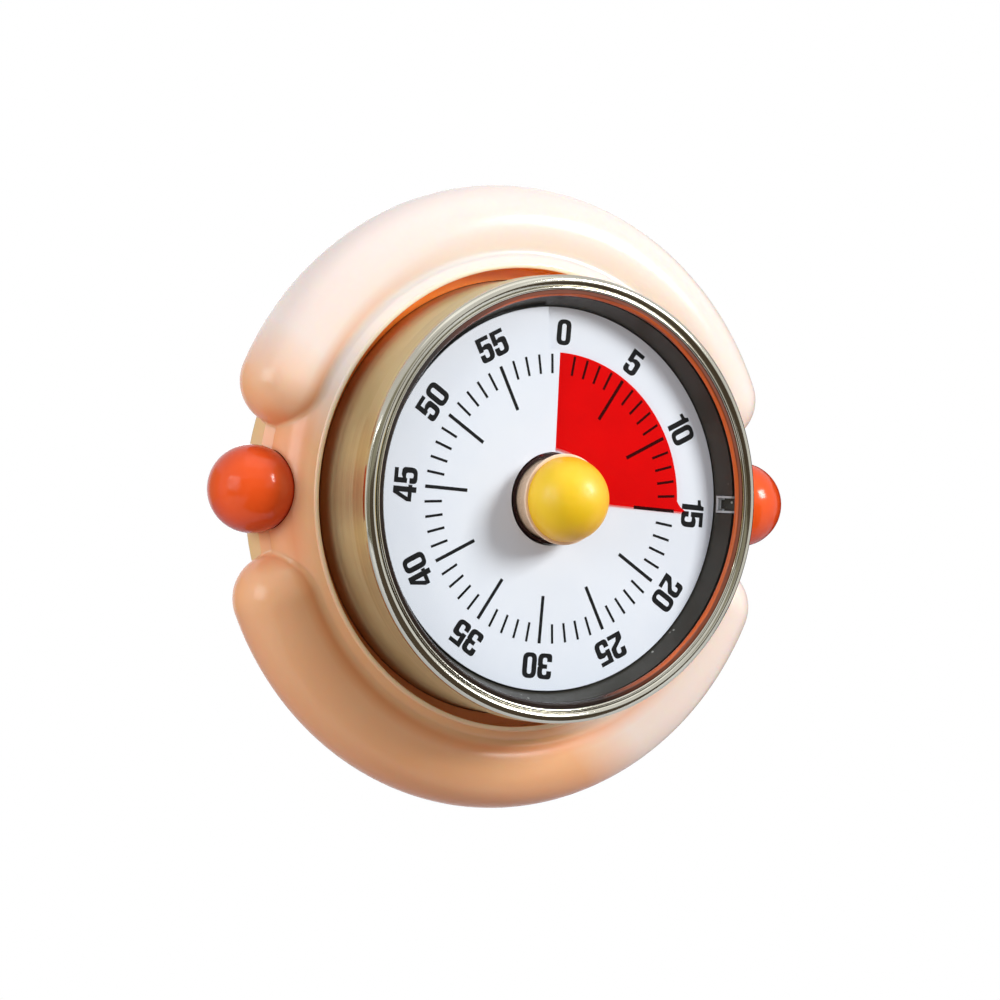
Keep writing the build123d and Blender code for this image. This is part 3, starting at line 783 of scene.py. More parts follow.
def lathe(name: str, outline: list[Point], sides: int) -> bpy.types.Mesh:
    """Turns an outline about the Y axis into a closed shell.

    Args:
        name: Name of the mesh.
        outline: Points (radius, y) in millimetres, from axis to axis or back to the first.
        sides: Facets round the axis.

    Returns:
        The mesh in metres.
    """
    shell = bmesh.new()
    rings = []
    for radius, along in outline:
        turns = sides if radius > 0 else 1
        angles = (math.tau * step / turns for step in range(turns))
        rings.append([shell.verts.new(around(radius, angle, along)) for angle in angles])
    for first, second in zip(rings, rings[1:]):
        for step in range(sides):
            ahead = (step + 1) % sides
            corners = [first[step % len(first)], first[ahead % len(first)]]
            corners += [second[ahead % len(second)], second[step % len(second)]]
            shell.faces.new(list(dict.fromkeys(corners)))
    bmesh.ops.remove_doubles(shell, verts=shell.verts, dist=WELD)
    return as_mesh(name, shell)


def dress(finish: Finish, *nodes: str) -> None:
    """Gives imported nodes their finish.

    Args:
        finish: Finish for all their faces.
        nodes: Names of the nodes.
    """
    for node in nodes:
        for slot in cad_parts[node].material_slots:
            slot.material = finish.material()
        LOG.info("dressed %s in %s", node, finish.name)


def adopt(name: str, mesh: bpy.types.Mesh, finish: Finish, body: str) -> Any:
    """Makes a finished piece of a mesh and sets it on its body.

    Args:
        name: Name of the piece.
        mesh: Its mesh, in place.
        finish: Its finish.
        body: Body that it rides on.

    Returns:
        The piece's object.
    """
    mesh.materials.clear()
    mesh.materials.append(finish.material())
    piece = added(name, mesh)
    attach(piece, body)
    LOG.info("made %s with %d faces on %s", name, len(mesh.polygons), body)
    return piece


class Repeat(Wiring):
    """Geometry tree that repeats one shape round the dial's axis."""

    KINDS = {
        int: "NodeSocketInt",
        float: "NodeSocketFloat",
        bpy.types.Object: "NodeSocketObject",
        bpy.types.Material: "NodeSocketMaterial",
    }

    def __init__(self, name: str, values: dict[str, Any]) -> None:
        """Starts the tree, with one input for each value.

        Args:
            name: Name of the tree.
            values: What the inputs are set to, by their names.
        """
        super().__init__(bpy.data.node_groups.new(name, "GeometryNodeTree"))
        self.values = values
        sockets = self.tree.interface
        for label, value in values.items():
            sockets.new_socket(label, in_out="INPUT", socket_type=self.KINDS[type(value)])
        sockets.new_socket("Geometry", in_out="OUTPUT", socket_type="NodeSocketGeometry")
        self.given = self.node("NodeGroupInput").outputs
        self.index = self.node("GeometryNodeInputIndex").outputs[0]

    def orbit(self, reach: Any, angle: Any, along: Any) -> Socket:
        """Place at a distance from the dial's axis, a clock angle and a Y.

        Args:
            reach: Distance from the axis.
            angle: Clock angle.
            along: The Y.

        Returns:
            The place.
        """
        across, upward = (
            self.math("MULTIPLY", reach, self.math(wave, angle)) for wave in ("SINE", "COSINE")
        )
        return self.join(across, along, upward)

    def bake(
        self, name: str, count: Any, where: Socket, shape: Socket, turn: Socket, size: Any = ONES
    ) -> bpy.types.Mesh:
        """Repeats a shape, runs the tree and gives the result as a plain mesh.

        Args:
            name: Name of the mesh.
            count: Number of copies.
            where: Place of each.
            shape: What is repeated.
            turn: Angle of each about the dial's axis.
            size: Size of each along its axes.

        Returns:
            The mesh.
        """
        points = self.node("GeometryNodePoints", {"Count": count, "Position": where}).outputs[0]
        turned = self.node("FunctionNodeEulerToRotation", {0: self.join(y=turn)}).outputs[0]
        copies = {"Points": points, "Instance": shape, "Rotation": turned, "Scale": size}
        placed = self.node("GeometryNodeInstanceOnPoints", copies).outputs[0]
        real = self.node("GeometryNodeRealizeInstances", {0: placed}).outputs[0]
        finish = {"Geometry": real, "Material": self.given["Finish"]}
        result = self.node("GeometryNodeSetMaterial", finish).outputs[0]
        self.node("NodeGroupOutput", {0: result})
        carrier = added(name, bpy.data.meshes.new(name))
        modifier = carrier.modifiers.new(self.tree.name, "NODES")
        modifier.node_group = self.tree
        for item in self.tree.interface.items_tree:
            if item.name in self.values:
                modifier[item.identifier] = self.values[item.name]
        mesh = evaluated(carrier)
        mesh.name = name
        bpy.data.objects.remove(carrier)
        return mesh


@dataclass(frozen=True)
class ScrewSurface:
    """Front face of the dial, which rises towards the viewer as it goes clockwise."""

    zero_depth: float = 5.8
    pitch: float = 1.2
    turn: float = 3.4
    slit: float = 7.2  # the slit's outer stretch lies this many degrees back

    def place(self, point: Point, lift: float) -> Vector:
        """Puts a flat front-view point on the surface.

        Args:
            point: Point of the flat dial, upright.
            lift: Height above the surface.

        Returns:
            The place in metres.
        """
        angle = math.degrees(math.atan2(*point))
        if angle < -self.slit:
            angle += 360
        depth = self.zero_depth - self.pitch * angle / 360 - lift
        return around(math.hypot(*point), math.radians(angle + self.turn), depth - CASE_DEPTH)


@dataclass(frozen=True)
class Digits:
    """Heavy condensed digits, drawn one unit tall with their feet on zero."""

    width: float = 0.62
    narrow: float = 0.45  # width of 1
    stem: float = 0.21
    bar: float = 0.165
    bend: float = 0.27
    bay: float = 0.1
    gap: float = 0.06
    bend_steps: int = 6

    def box(self, left: float, low: float, right: float, top: float, bend: float) -> list[Corner]:
        """Box with round corners."""
        return [(left, low, bend), (right, low, bend), (right, top, bend), (left, top, bend)]

    def glyphs(self) -> list[list[list[Corner]]]:
        """Outlines and holes of the digits 0 to 5.

        Returns:
            The corners of each digit's outlines.
        """
        right, stem, bar, bend, bay = self.width, self.stem, self.bar, self.bend, self.bay
        inner, top = right - stem, 1.0 - bar
        zero = [self.box(0.0, 0.0, right, 1.0, bend), self.box(stem, bar, inner, top, bay)]

        end = 0.44
        left = end - stem
        one = [(left, 0.0), (end, 0.0), (end, 1.0), (left + 0.06, 1.0), (left + 0.02, 0.87, 0.08)]
        one += [(0.03, 0.83), (0.03, 0.7), (left, 0.72)]

        two = [(0.0, 0.0), (right, 0.0), (right, bar), (0.25, bar), (0.3, 0.3, 0.05)]
        two += [(right, 0.52, 0.14), (right, 1.0, bend), (0.0, 1.0, bend), (0.0, 0.64)]
        two += [(stem, 0.64), (stem, top, bay), (inner, top, bay), (inner, 0.6, 0.12)]
        two += [(0.0, 0.3, 0.16)]

        waist = 0.51
        low, high = waist - bar / 2, waist + bar / 2
        three = [(0.0, 0.68), (0.0, 1.0, bend), (right, 1.0, bend), (right, waist + 0.03, 0.08)]
        three += [(right - 0.06, waist, 0.02), (right, waist - 0.03, 0.08), (right, 0.0, bend)]
        three += [(0.0, 0.0, bend), (0.0, 0.32), (stem, 0.32), (stem, bar, bay), (inner, bar, bay)]
        three += [(inner, low, 0.06), (0.2, low), (0.2, high), (inner, high, 0.06)]
        three += [(inner, top, bay), (stem, top, bay), (stem, 0.68)]

        arm, post = right + 0.02, right - 0.06
        left = post - stem
        low, high = 0.19, 0.19 + bar
        four = [(left, 0.0), (post, 0.0), (post, low), (arm, low), (arm, high), (post, high)]
        four += [(post, 1.0), (left - 0.05, 1.0), (0.0, high + 0.03), (0.0, low), (left, low)]
        hole = [(left, high), (left, 0.76), (0.16, high)]

        end, brow = right - 0.04, 0.66
        five = [(0.01, 1.0), (end, 1.0), (end, top), (stem, top), (stem, brow - 0.03)]
        five += [(right * 0.55, brow + 0.03, 0.1), (right, brow, 0.18), (right, 0.0, bend)]
        five += [(0.0, 0.0, bend), (0.0, 0.33), (stem, 0.33), (stem, bar, bay), (inner, bar, bay)]
        five += [(inner, brow - bar, bay), (stem, brow - bar, 0.08), (stem - 0.01, 0.44)]
        five += [(0.01, 0.44)]
        return [zero, [one], [two], [three], [four, hole], [five]]

    def advance(self, digit: str) -> float:
        """Width of a digit."""
        return self.narrow if digit == "1" else self.width

    def rounded(self, corners: list[Corner]) -> list[Point]:
        """Rounds the corners of an outline.

        Args:
            corners: Corners, some with a radius.

        Returns:
            The outline's points.
        """
        points: list[Point] = []
        for index, (x, y, *bend) in enumerate(corners):
            if not bend:
                points.append((x, y))
                continue
            here = Vector((x, y))
            before = Vector(corners[index - 1][:2]) - here
            after = Vector(corners[(index + 1) % len(corners)][:2]) - here
            half = before.angle(after) / 2
            reach = min(bend[0] / math.tan(half), 0.5 * before.length, 0.5 * after.length)
            start = here + before.normalized() * reach
            end = here + after.normalized() * reach
            for step in range(self.bend_steps + 1):
                share = step / self.bend_steps
                bent = start.lerp(here, share).lerp(here.lerp(end, share), share)
                points.append((bent.x, bent.y))
        return points

    def word(self, text: str) -> list[list[Point]]:
        """Outlines of a number, centred on the origin.

        Args:
            text: Digits of the number.

        Returns:
            The outlines, holes included.
        """
        total = sum(self.advance(digit) for digit in text) + self.gap * (len(text) - 1)
        left = -total / 2
        outlines = []
        glyphs = self.glyphs()
        for digit in text:
            for corners in glyphs[int(digit)]:
                points = self.rounded(corners)
                outlines.append([(left + x, y - 0.5) for x, y in points])
            left += self.advance(digit) + self.gap
        return outlines


@dataclass(frozen=True)
class DialFace:
    """Printed sheet, its numerals and its minute marks."""

    surface: ScrewSurface = ScrewSurface()
    digits: Digits = Digits()
    numeral_height: float = 4.5
    numeral_radius: float = 29.2
    ink: float = 0.03
    weld: float = 0.0005
    minutes: int = 60
    long_every: int = 5
    mark_outer: float = 25.3
    long_inner: float = 17.0
    short_inner: float = 21.9
    long_width: float = 0.6
    short_width: float = 0.44

    def build(self) -> None:
        """Dresses the sheet and prints it."""
        dress(CARD, "dial")
        dress(BLACK, "dial_carrier")
        adopt("dial_numerals", self.numerals(), INK, "case")
        adopt("minute_marks", self.marks(), INK, "case")

    def numerals(self) -> bpy.types.Mesh:
        """Mesh of all the numerals, laid on the dial's screw surface.

        Returns:
            The mesh in metres.
        """
        joined = bmesh.new()
        for minute in range(0, self.minutes, self.long_every):
            curve = bpy.data.curves.new("numeral", "CURVE")
            curve.dimensions = "2D"
            curve.fill_mode = "BOTH"
            curve.extrude = self.ink
            for outline in self.digits.word(str(minute)):
                spline = curve.splines.new("POLY")
                spline.points.add(len(outline) - 1)
                spline.use_cyclic_u = True
                for point, (x, y) in zip(spline.points, outline):
                    point.co = (x * self.numeral_height, y * self.numeral_height, 0.0, 1.0)
            holder = bpy.data.objects.new("numeral", curve)
            flat = bpy.data.meshes.new_from_object(holder)
            angle = math.radians(360 * minute / self.minutes)
            sine, cosine = math.sin(angle), math.cos(angle)
            for vertex in flat.vertices:
                x, y, height = vertex.co
                y += self.numeral_radius
                turned = (x * cosine + y * sine, y * cosine - x * sine)
                vertex.co = self.surface.place(turned, height)
            joined.from_mesh(flat)
            bpy.data.meshes.remove(flat)
            bpy.data.objects.remove(holder)
        bmesh.ops.remove_doubles(joined, verts=joined.verts, dist=self.weld * MM)
        return as_mesh("dial_numerals", joined)

    def marks(self) -> bpy.types.Mesh:
        """Mesh of the minute marks, a longer and wider one at each numeral.

        Returns:
            The mesh in metres.
        """
        values = {
            "Minutes": self.minutes,
            "Long Every": self.long_every,
            "Outer Radius": self.mark_outer * MM,
            "Long Inner Radius": self.long_inner * MM,
            "Short Inner Radius": self.short_inner * MM,
            "Long Width": self.long_width * MM,
            "Short Width": self.short_width * MM,
            "Ink": 2 * self.ink * MM,
            "Zero Place": (self.surface.zero_depth - CASE_DEPTH) * MM,
            "Pitch": self.surface.pitch * MM,
            "Turn": math.radians(self.surface.turn),
            "Finish": INK.material(),
        }
        tree = Repeat("minute marks", values)
        given = tree.given
        minute = tree.math("ADD", tree.index, 1.0)
        is_long = tree.math("LESS_THAN", tree.math("MODULO", minute, given["Long Every"]), 0.5)

        def choose(size: str) -> Socket:
            """Size of a long or a short mark."""
            long, short = given["Long " + size], given["Short " + size]
            return tree.math("MULTIPLY_ADD", tree.math("SUBTRACT", long, short), is_long, short)

        inner, outer = choose("Inner Radius"), given["Outer Radius"]
        share = tree.math("DIVIDE", minute, given["Minutes"])
        angle = tree.math("MULTIPLY_ADD", share, math.tau, given["Turn"])
        reach = tree.math("MULTIPLY", tree.math("ADD", inner, outer), 0.5)
        rise = tree.math("MULTIPLY", share, given["Pitch"])
        length = tree.math("SUBTRACT", outer, inner)
        return tree.bake(
            "minute_marks",
            count=tree.math("SUBTRACT", given["Minutes"], 1.0),
            where=tree.orbit(reach, angle, tree.math("SUBTRACT", given["Zero Place"], rise)),
            shape=tree.node("GeometryNodeMeshCube", {"Size": ONES}).outputs["Mesh"],
            turn=angle,
            size=tree.join(choose("Width"), given["Ink"], length),
        )


@dataclass(frozen=True)
class CoverScrews:
    """Countersunk screws of the rear cover, with cross recesses.

    The points of the crown are shares of head_radius and head_crown.
    """

    count: int = 4
    circle: float = 44.3
    first: float = 45.0
    twist: float = 0.7  # radians between the recesses of one screw and the next
    head_radius: float = 1.9
    head_height: float = 1.2
    head_crown: float = 0.25
    crown: tuple[Point, ...] = ((0.6, 0.25), (0.92, 0.7), (1.0, 1.3))
    shank: float = 1.0
    length: float = 7.0
    tip_height: float = 0.4
    tip_radius: float = 0.4
    sink: float = 0.1
    recess_width: float = 0.5
    recess_span: float = 2.1
    recess_depth: float = 0.7
    sides: int = 40

    def build(self) -> None:
        """Puts the detailed screws in place of the plain ones."""
        screw = self.screw()
        mesh = self.placed(screw)
        bpy.data.objects.remove(screw)
        piece = adopt("cross_head_screws", mesh, ZINC, "case")
        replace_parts(piece, "cover_screws")

    def screw(self) -> bpy.types.Object:
        """One screw with its head's top on Y = 0, before it is repeated.

        Returns:
            The screw's object.
        """
        outline = [
            (0.0, 0.0),
            *((self.head_radius * wide, -self.head_crown * low) for wide, low in self.crown),
            (self.head_radius, -self.head_height),
            (self.shank, -self.head_height),
            (self.shank, self.tip_height - self.length),
            (self.tip_radius, -self.length),
            (0.0, -self.length),
        ]
        cutter = bmesh.new()
        bar = (self.recess_span * MM, 2 * self.recess_depth * MM, self.recess_width * MM, 1.0)
        for turn in (0.0, math.pi / 2):
            place = Matrix.Rotation(turn, 4, "Y") @ Matrix.Diagonal(bar)
            bmesh.ops.create_cube(cutter, size=1.0, matrix=place)
        tool = added("cross", as_mesh("cross", cutter, closed=False))
        plain = added("screw", lathe("screw", outline, self.sides))
        cut = plain.modifiers.new("recess", "BOOLEAN")
        cut.object = tool
        cut.operation = "DIFFERENCE"
        cut.solver = "EXACT"
        cut.use_self = True
        finished = evaluated(plain)
        plain.modifiers.remove(cut)
        plain.data = finished
        bpy.data.objects.remove(tool)
        return plain

    def placed(self, screw: bpy.types.Object) -> bpy.types.Mesh:
        """Mesh of the screws on their circle.

        Args:
            screw: The screw to repeat.

        Returns:
            The mesh of all the screws.
        """
        values = {
            "Count": self.count,
            "Circle": self.circle * MM,
            "First": math.radians(self.first),
            "Top": -self.sink * MM,
            "Screw": screw,
            "Finish": ZINC.material(),
        }
        tree = Repeat("screws on a circle", values)
        given = tree.given
        share = tree.math("DIVIDE", tree.index, given["Count"])
        angle = tree.math("MULTIPLY_ADD", share, math.tau, given["First"])
        source = tree.node("GeometryNodeObjectInfo", {"Object": given["Screw"]})
        return tree.bake(
            "cross_head_screws",
            count=given["Count"],
            where=tree.orbit(given["Circle"], angle, given["Top"]),
            shape=source.outputs["Geometry"],
            turn=tree.math("MULTIPLY", tree.index, self.twist),
        )


@dataclass(frozen=True)
class RingProfile:
    """Outline of the ring from its lip to its cover's rim, seen from a point in its wall.

    An angle about that point is 0 towards the viewer, 90 outwards and 180 towards the back.
    """

    core: Point = (45.0, 23.5)  # radius and depth of the point
    lip: Point = (41.4, 15.15)
    shoulder: Point = (44.8, 17.75)
    flank: Point = (46.6, 22.6)
    base_radius: float = 48.0
    base_front: float = 24.0
    base_rear: float = 28.3
    cover_radius: float = 46.45  # just under the cover's rim
    cover_rear: float = 31.35  # just short of the flat back
    steps: int = 40

    def arc(self) -> np.ndarray:
        """Points of the round shoulder, through its three places.

        Returns:
            Rows of radius and depth.
        """
        first, middle, last = (np.array(place) for place in (self.lip, self.shoulder, self.flank))
        sides = np.array([middle - first, last - first])
        halves = np.array([side @ side / 2 for side in sides])
        centre = first + np.linalg.solve(sides, halves)
        start, end = (math.atan2(*(place - centre)[::-1]) for place in (first, last))
        turns = np.linspace(start, end, self.steps)
        reach = np.linalg.norm(first - centre)
        return centre + reach * np.stack([np.cos(turns), np.sin(turns)], axis=1)

    def outline(self) -> np.ndarray:
        """Closely spaced points of the whole outline.

        Returns:
            Rows of radius and depth.
        """
        corners = [
            self.flank,
            (self.base_radius, self.base_front),
            (self.base_radius, self.base_rear),
            (self.cover_radius, self.base_rear),
            (self.cover_radius, self.cover_rear),
        ]
        runs = [np.linspace(*ends, self.steps) for ends in zip(corners, corners[1:])]
        return np.concatenate([self.arc(), *runs])

    def seen(self, places: np.ndarray) -> tuple[np.ndarray, np.ndarray]:
        """Angles and distances of places from the point in the wall."""
        out, back = (places - self.core).T
        return np.arctan2(out, -back), np.hypot(out, back)

    def place(self, reach: np.ndarray, angles: np.ndarray) -> tuple[np.ndarray, np.ndarray]:
        """Radii and depths at distances and angles from the point in the wall."""
        radius, depth = self.core
        return radius + reach * np.sin(angles), depth - reach * np.cos(angles)

    def span(self) -> np.ndarray:
        """Angles of the lip and of the cover's rim."""
        return self.seen(np.array([self.lip, (self.cover_radius, self.cover_rear)]))[0]

    def reach(self, angles: np.ndarray) -> np.ndarray:
        """Distances to the outline at angles in radians."""
        return np.interp(angles, *self.seen(self.outline()))


@dataclass(frozen=True)
class Lobe:
    """Crescent that grows out of the ring with a soft valley along its edge."""

    node: str
    middle: float  # clock angle of its middle
    profile: RingProfile = RingProfile()
    half_angle: float = 66.5
    circle: float = 47.4
    depth: float = 23.3
    radius: float = 8.0
    valley: float = 1.1  # width of the soft valley at the front
    rear_valley: float = 0.4
    narrowing: Point = (60.0, 120.0)  # angles of the outline between which it narrows
    run_out: float = 11.5  # degrees past the centre of a round end
    run_in: float = 4.5  # degrees before it, where the close columns start
    columns: int = 90  # along the middle, and along each round end
    rows: int = 120
    far: float = 14.0  # where the search for the skin starts
    rounds: int = 70
    pace: float = 0.7
    sink: float = 0.04  # how far the lobe's rim dips under the ring's skin
    root: float = 0.6

    def build(self) -> None:
        """Puts the blended crescent in place of the plain one."""
        piece = adopt(self.node + "_skin", self.mesh(), LOBE_PEACH, "case")
        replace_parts(piece, self.node)

    def tube(self, turn: np.ndarray, radius: np.ndarray, depth: np.ndarray) -> np.ndarray:
        """Distance outside the crescent's round bar.

        Args:
            turn: Angles from the crescent's middle, in radians.
            radius: Distances from the dial's axis.
            depth: Depths.

        Returns:
            The distances, negative inside the bar.
        """
        past = np.maximum(np.abs(turn) - math.radians(self.half_angle), 0.0)
        across = radius**2 + self.circle**2 - 2 * radius * self.circle * np.cos(past)
        return np.sqrt(np.maximum(across, 0.0) + (depth - self.depth) ** 2) - self.radius

    def turns(self) -> np.ndarray:
        """Angles of the columns from the crescent's middle, close together at its ends.

        Returns:
            The angles in radians.
        """
        near = math.radians(self.half_angle - self.run_in)
        side = math.radians(self.half_angle + self.run_out)
        end = np.linspace(near, side, self.columns)
        middle = np.linspace(-near, near, self.columns)[1:-1]
        return np.concatenate([-end[::-1], middle, end])

    def mesh(self) -> bpy.types.Mesh:
        """Closed mesh of the crescent, its underside just inside the ring's skin.

        Returns:
            The mesh in metres.
        """
        angles = np.linspace(*self.profile.span(), self.rows)
        turns, angles = np.meshgrid(self.turns(), angles, indexing="ij")
        skin = self.profile.reach(angles)
        width = np.interp(np.degrees(angles), self.narrowing, (self.valley, self.rear_valley))
        out = np.full_like(skin, self.far)
        for _ in range(self.rounds):
            bar = self.tube(turns, *self.profile.place(out, angles))
            ring = out - skin
            share = np.clip(0.5 + 0.5 * (ring - bar) / width, 0.0, 1.0)
            out -= self.pace * (ring + share * (bar - ring) - width * share * (1 - share))
        shell = bmesh.new()
        clock = turns + math.radians(self.middle)
        sheets = []
        for reach in (out - self.sink, skin - self.root):
            radius, depth = self.profile.place(reach, angles)
            front_view = (radius * np.sin(clock), depth - CASE_DEPTH, radius * np.cos(clock))
            places = np.stack(front_view, axis=-1)
            sheets.append(
                [[shell.verts.new(Vector(place) * MM) for place in run] for run in places]
            )
        for sheet in sheets:
            for first, second in zip(sheet, sheet[1:]):
                for a, b, c, d in zip(first, second, second[1:], first[1:]):
                    shell.faces.new((a, b, c, d))
        for top, low in zip(*(self.rim(sheet) for sheet in sheets)):
            shell.faces.new((*top, *reversed(low)))
        mesh = as_mesh(self.node, shell)
        mesh.shade_smooth()
        return mesh

    def rim(self, sheet: list[list[Any]]) -> list[tuple[Any, Any]]:
        """Edges round a sheet's border, in order.

        Args:
            sheet: Rows of the sheet's vertices.

        Returns:
            The two vertices of each edge.
        """
        loop = sheet[0][:-1] + [run[-1] for run in sheet[:-1]]
        loop += sheet[-1][:0:-1] + [run[0] for run in sheet[:0:-1]]
        return list(zip(loop, loop[1:] + loop[:1]))


@dataclass(frozen=True)
class Bezel:
    """Rolled hoop with an inner and an outer bead, turned finely for clean reflections."""

    opening: float = 36.4
    bead_top: float = 37.9  # radius of the outer bead's crest
    bead: float = 1.1
    groove_depth: float = 0.45
    back: float = 1.25
    skirt_bore: float = 38.4
    skirt: float = 5.4
    steps: int = 28
    sides: int = 384
    crease: float = 35.0  # degrees above which an edge stays sharp

    def outline(self) -> list[Point]:
        """Points (radius, depth) round the hoop's section, back to the first.

        Returns:
            The points.
        """
        fall = self.bead - self.groove_depth
        groove = self.bead_top - math.sqrt(self.bead**2 - fall**2)
        small = (groove - self.opening) / 2
        start = math.atan2(fall, groove - self.bead_top)
        inner = [
            (groove - small + small * math.cos(turn), self.groove_depth - small * math.sin(turn))
            for turn in np.linspace(math.pi, 0.0, self.steps)
        ]
        outer = [
            (self.bead_top + self.bead * math.cos(turn), self.bead * (1 - math.sin(turn)))
            for turn in np.linspace(start, 0.0, self.steps)[1:]
        ]
        foot = self.bead_top + self.bead
        skirt = [(foot, self.skirt), (self.skirt_bore, self.skirt), (self.skirt_bore, self.back)]
        first = (self.opening, self.back)
        return [first, *inner, *outer, *skirt, first]

    def build(self) -> None:
        """Puts the fine hoop in place of the faceted one."""
        outline = [(radius, depth - CASE_DEPTH) for radius, depth in self.outline()]
        mesh = lathe("bezel", outline, self.sides)
        mesh.shade_smooth()
        mesh.set_sharp_from_angle(angle=math.radians(self.crease))
        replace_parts(adopt("bezel_hoop", mesh, CHROME, "case"), "bezel")


@dataclass(frozen=True)
class Ring:
    """Moulded ring with its two lobes, two side balls and rear cover."""

    lobes: tuple[Lobe, ...] = (Lobe("upper_lobe", 0.0), Lobe("lower_lobe", 180.0))
    screws: CoverScrews = CoverScrews()

    def build(self) -> None:
        """Dresses the ring's pieces."""
        dress(PEACH, "ring_base")
        dress(ORANGE, "side_balls")
        dress(COVER, "rear_cover")
        dress(MAGNET, "magnets")
        for part in (*self.lobes, self.screws):
            part.build()


@dataclass(frozen=True)
class Case:
    """Steel cup, bezel, gasket, window and the dark ring behind it."""

    bezel: Bezel = Bezel()

    def build(self) -> None:
        """Dresses the case's pieces."""
        dress(CUP_STEEL, "cup")
        dress(AMBER, "lens_gasket")
        dress(CLEAR, "lens")
        dress(BLACK, "wall_ring")
        self.bezel.build()


class Winder:
    """Knob, its stem and the red film that it turns."""

    def build(self) -> None:
        """Dresses the pieces that turn with the knob."""
        dress(YELLOW, "knob")
        dress(PALE, "knob_stem")
        dress(HUB, "film_hub")
        dress(FILM, "red_film")
        dress(STEEL, "main_arbor")
        dress(BRASS, "main_wheel")


class Movement:
    """Plates, train, balance, spring, bell and hammer inside the cup."""

    def build(self) -> None:
        """Dresses the movement's pieces."""
        dress(STEEL, "front_plate", "rear_plate", "spring_barrel", "mainspring", "bell", "hammer")
        dress(BRASS, "pillars", "bell_nut", "second_wheel", "third_wheel", "escape_wheel")
        dress(BRASS, "balance")


def hang(thing: Any, place: Place, front: str) -> None:
    """Sets an object at a place and turns its front, such as -Z, to the dial.

    Args:
        thing: The object.
        place: Where it goes.
        front: Axis of the object that looks at the dial, such as -Z.
    """
    thing.location = place
    thing.rotation_mode = "QUATERNION"
    thing.rotation_quaternion = (-Vector(place)).to_track_quat(front, "Y")


@dataclass(frozen=True)
class Lamp:
    """A square soft lamp aimed at the dial."""

    name: str
    place: Place
    side: float
    watts: float

    def build(self) -> None:
        """Hangs the lamp."""
        light = bpy.data.lights.new(self.name, "AREA")
        light.shape = "SQUARE"
        light.size = self.side
        light.energy = self.watts
        hang(added(self.name, light), self.place, "-Z")


@dataclass(frozen=True)
class Card:
    """A square card that only shows in reflections."""

    name: str
    place: Place
    side: float
    colour: Colour
    strength: float = 1.0

    def build(self) -> None:
        """Hangs the card, facing the dial."""
        plate = bmesh.new()
        bmesh.ops.create_grid(plate, x_segments=1, y_segments=1, size=self.side / 2)
        mesh = as_mesh(self.name, plate, closed=False)
        surface = bpy.data.materials.new(self.name)
        surface.use_nodes = True
        surface.node_tree.nodes.clear()
        nodes = Shading(surface.node_tree)
        glow = nodes.node("ShaderNodeEmission", {"Color": self.colour, "Strength": self.strength})
        nodes.node("ShaderNodeOutputMaterial", {"Surface": glow.outputs[0]})
        mesh.materials.append(surface)
        card = added(self.name, mesh)
        hang(card, self.place, "Z")
        for ray in ("camera", "diffuse", "shadow", "transmission"):
            setattr(card, "visible_" + ray, False)


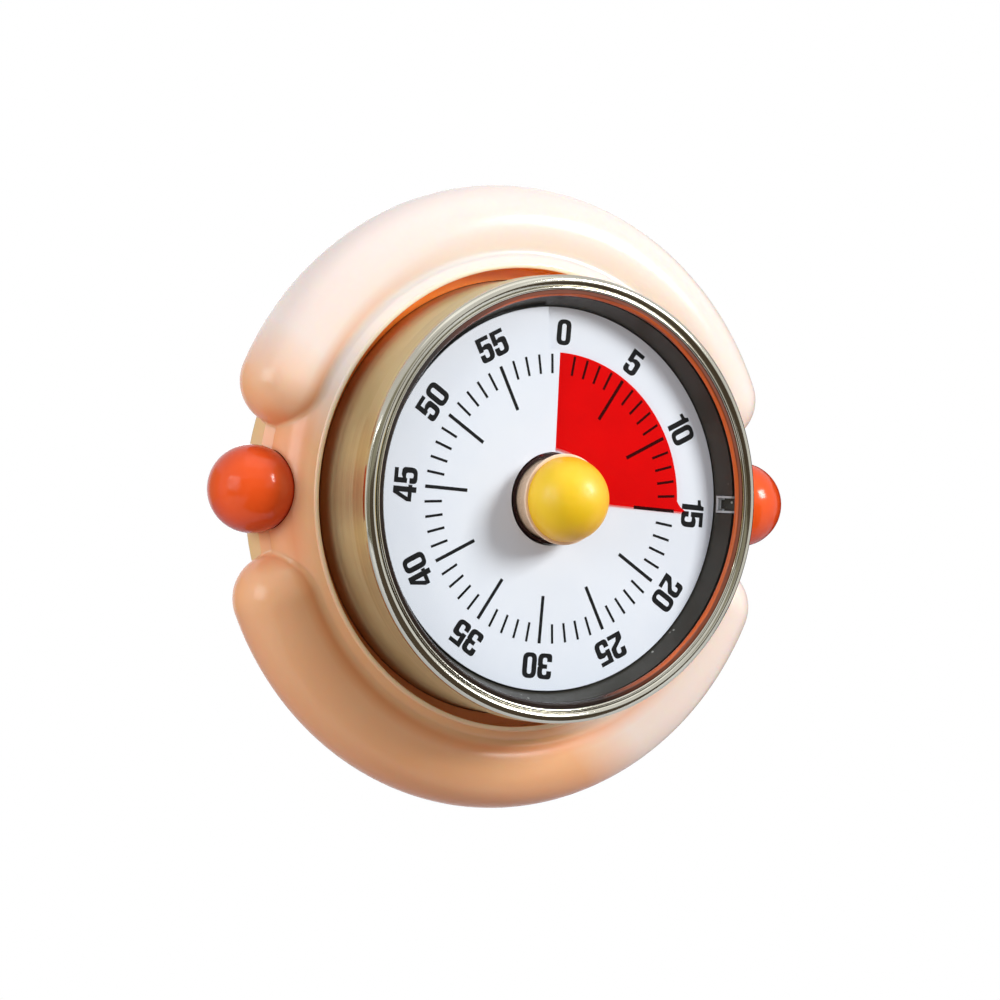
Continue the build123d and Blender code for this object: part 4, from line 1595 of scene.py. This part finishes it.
@dataclass(frozen=True)
class Studio:
    """Pale floor, white surroundings, soft lamps and the camera."""

    floor_height: float = -0.3
    floor_radius: float = 1.2
    floor_sides: int = 96
    above: Colour = (0.32, 0.35, 0.41)
    below: Colour = (0.38, 0.27, 0.18)
    horizon: Point = (-0.6, 0.1)  # heights between which one turns into the other
    lamps: tuple[Lamp, ...] = (
        Lamp("key lamp", (0.68, -0.8, 0.48), 0.34, 11.0),
        Lamp("left lamp", (-0.95, -0.25, 0.2), 0.5, 4.8),
        Lamp("top lamp", (-0.15, -0.25, 0.95), 0.6, 0.8),
        Lamp("rear lamp", (0.55, 0.95, 0.05), 0.4, 1.5),
    )
    cards: tuple[Card, ...] = (
        Card("sky card", (0.1, -0.25, 0.85), 0.6, ONES, 1.6),
        Card("front card", (-0.3, -0.95, 0.0), 1.0, display(176, 172, 154)),
        Card("left card", (-0.85, -0.35, 0.0), 0.8, display(136, 132, 114)),
        Card("far card", (-0.6, 0.75, 0.0), 0.8, display(240, 204, 154)),
        Card("right card", (0.8, 0.45, 0.0), 0.8, display(50, 48, 38)),
        Card("low card", (0.0, -0.25, -0.18), 0.5, display(94, 82, 68)),
    )
    distance: float = 0.8
    lens: float = 166.05
    sensor: float = 36.0
    yaw: float = 29.33
    pitch: float = 0.23
    roll: float = -1.97
    shift_right: float = 0.01151
    shift_up: float = 0.0001

    def build(self) -> None:
        """Sets up the surroundings."""
        bpy.context.scene.view_settings.view_transform = "Standard"
        self.world()
        self.floor()
        for fitting in self.lamps + self.cards:
            fitting.build()
        self.camera()

    def world(self) -> None:
        """White where it is seen, softer where it lights."""
        world = bpy.data.worlds.new("studio")
        world.use_nodes = True
        world.node_tree.nodes.clear()
        nodes = Shading(world.node_tree)
        paths = nodes.node("ShaderNodeLightPath").outputs
        seen = nodes.math("MAXIMUM", paths["Is Camera Ray"], paths["Is Glossy Ray"])
        seen = nodes.math("MAXIMUM", seen, paths["Is Transmission Ray"])
        where = nodes.node("ShaderNodeTexCoord").outputs["Generated"]
        height = nodes.node("ShaderNodeSeparateXYZ", {0: where}).outputs[2]
        tone = nodes.blend(nodes.span(height, *self.horizon), self.below, self.above)
        soft, white = (
            nodes.node("ShaderNodeBackground", {"Color": colour, "Strength": 1.0}).outputs[0]
            for colour in (tone, ONES)
        )
        nodes.node("ShaderNodeOutputWorld", {"Surface": nodes.layer(seen, soft, white)})
        bpy.context.scene.world = world

    def floor(self) -> None:
        """Pale round floor below the timer."""
        plate = bmesh.new()
        bmesh.ops.create_circle(
            plate, cap_ends=True, segments=self.floor_sides, radius=self.floor_radius
        )
        mesh = as_mesh("floor", plate, closed=False)
        mesh.materials.append(FLOOR.material())
        floor = added("floor", mesh)
        floor.location = (0.0, 0.0, self.floor_height)
        floor.visible_diffuse = False

    def camera(self) -> None:
        """Camera at the dial's left, level with it."""
        seen = Matrix.Identity(3)
        for angle, axis in ((self.roll, "Z"), (self.pitch, "X"), (self.yaw, "Y")):
            seen = seen @ Matrix.Rotation(math.radians(angle), 3, axis)
        upright = Matrix(((1, 0, 0), (0, 0, -1), (0, 1, 0)))
        turn = upright @ seen.transposed()
        offset = Vector((self.shift_right, self.shift_up, -self.distance))
        data = bpy.data.cameras.new("camera")
        data.lens = self.lens
        data.sensor_width = self.sensor
        camera = added("camera", data)
        camera.matrix_world = turn.to_4x4()
        camera.location = turn @ -offset + Vector((0.0, -CASE_DEPTH * MM, 0.0))
        bpy.context.scene.camera = camera


def main() -> None:
    """Builds the studio and every sub-assembly."""
    logging.basicConfig(level=logging.INFO, format="%(name)s: %(message)s")
    for part in (Studio(), Ring(), Case(), DialFace(), Winder(), Movement()):
        LOG.info("building %s", type(part).__name__)
        part.build()


if __name__ == "__main__":
    main()
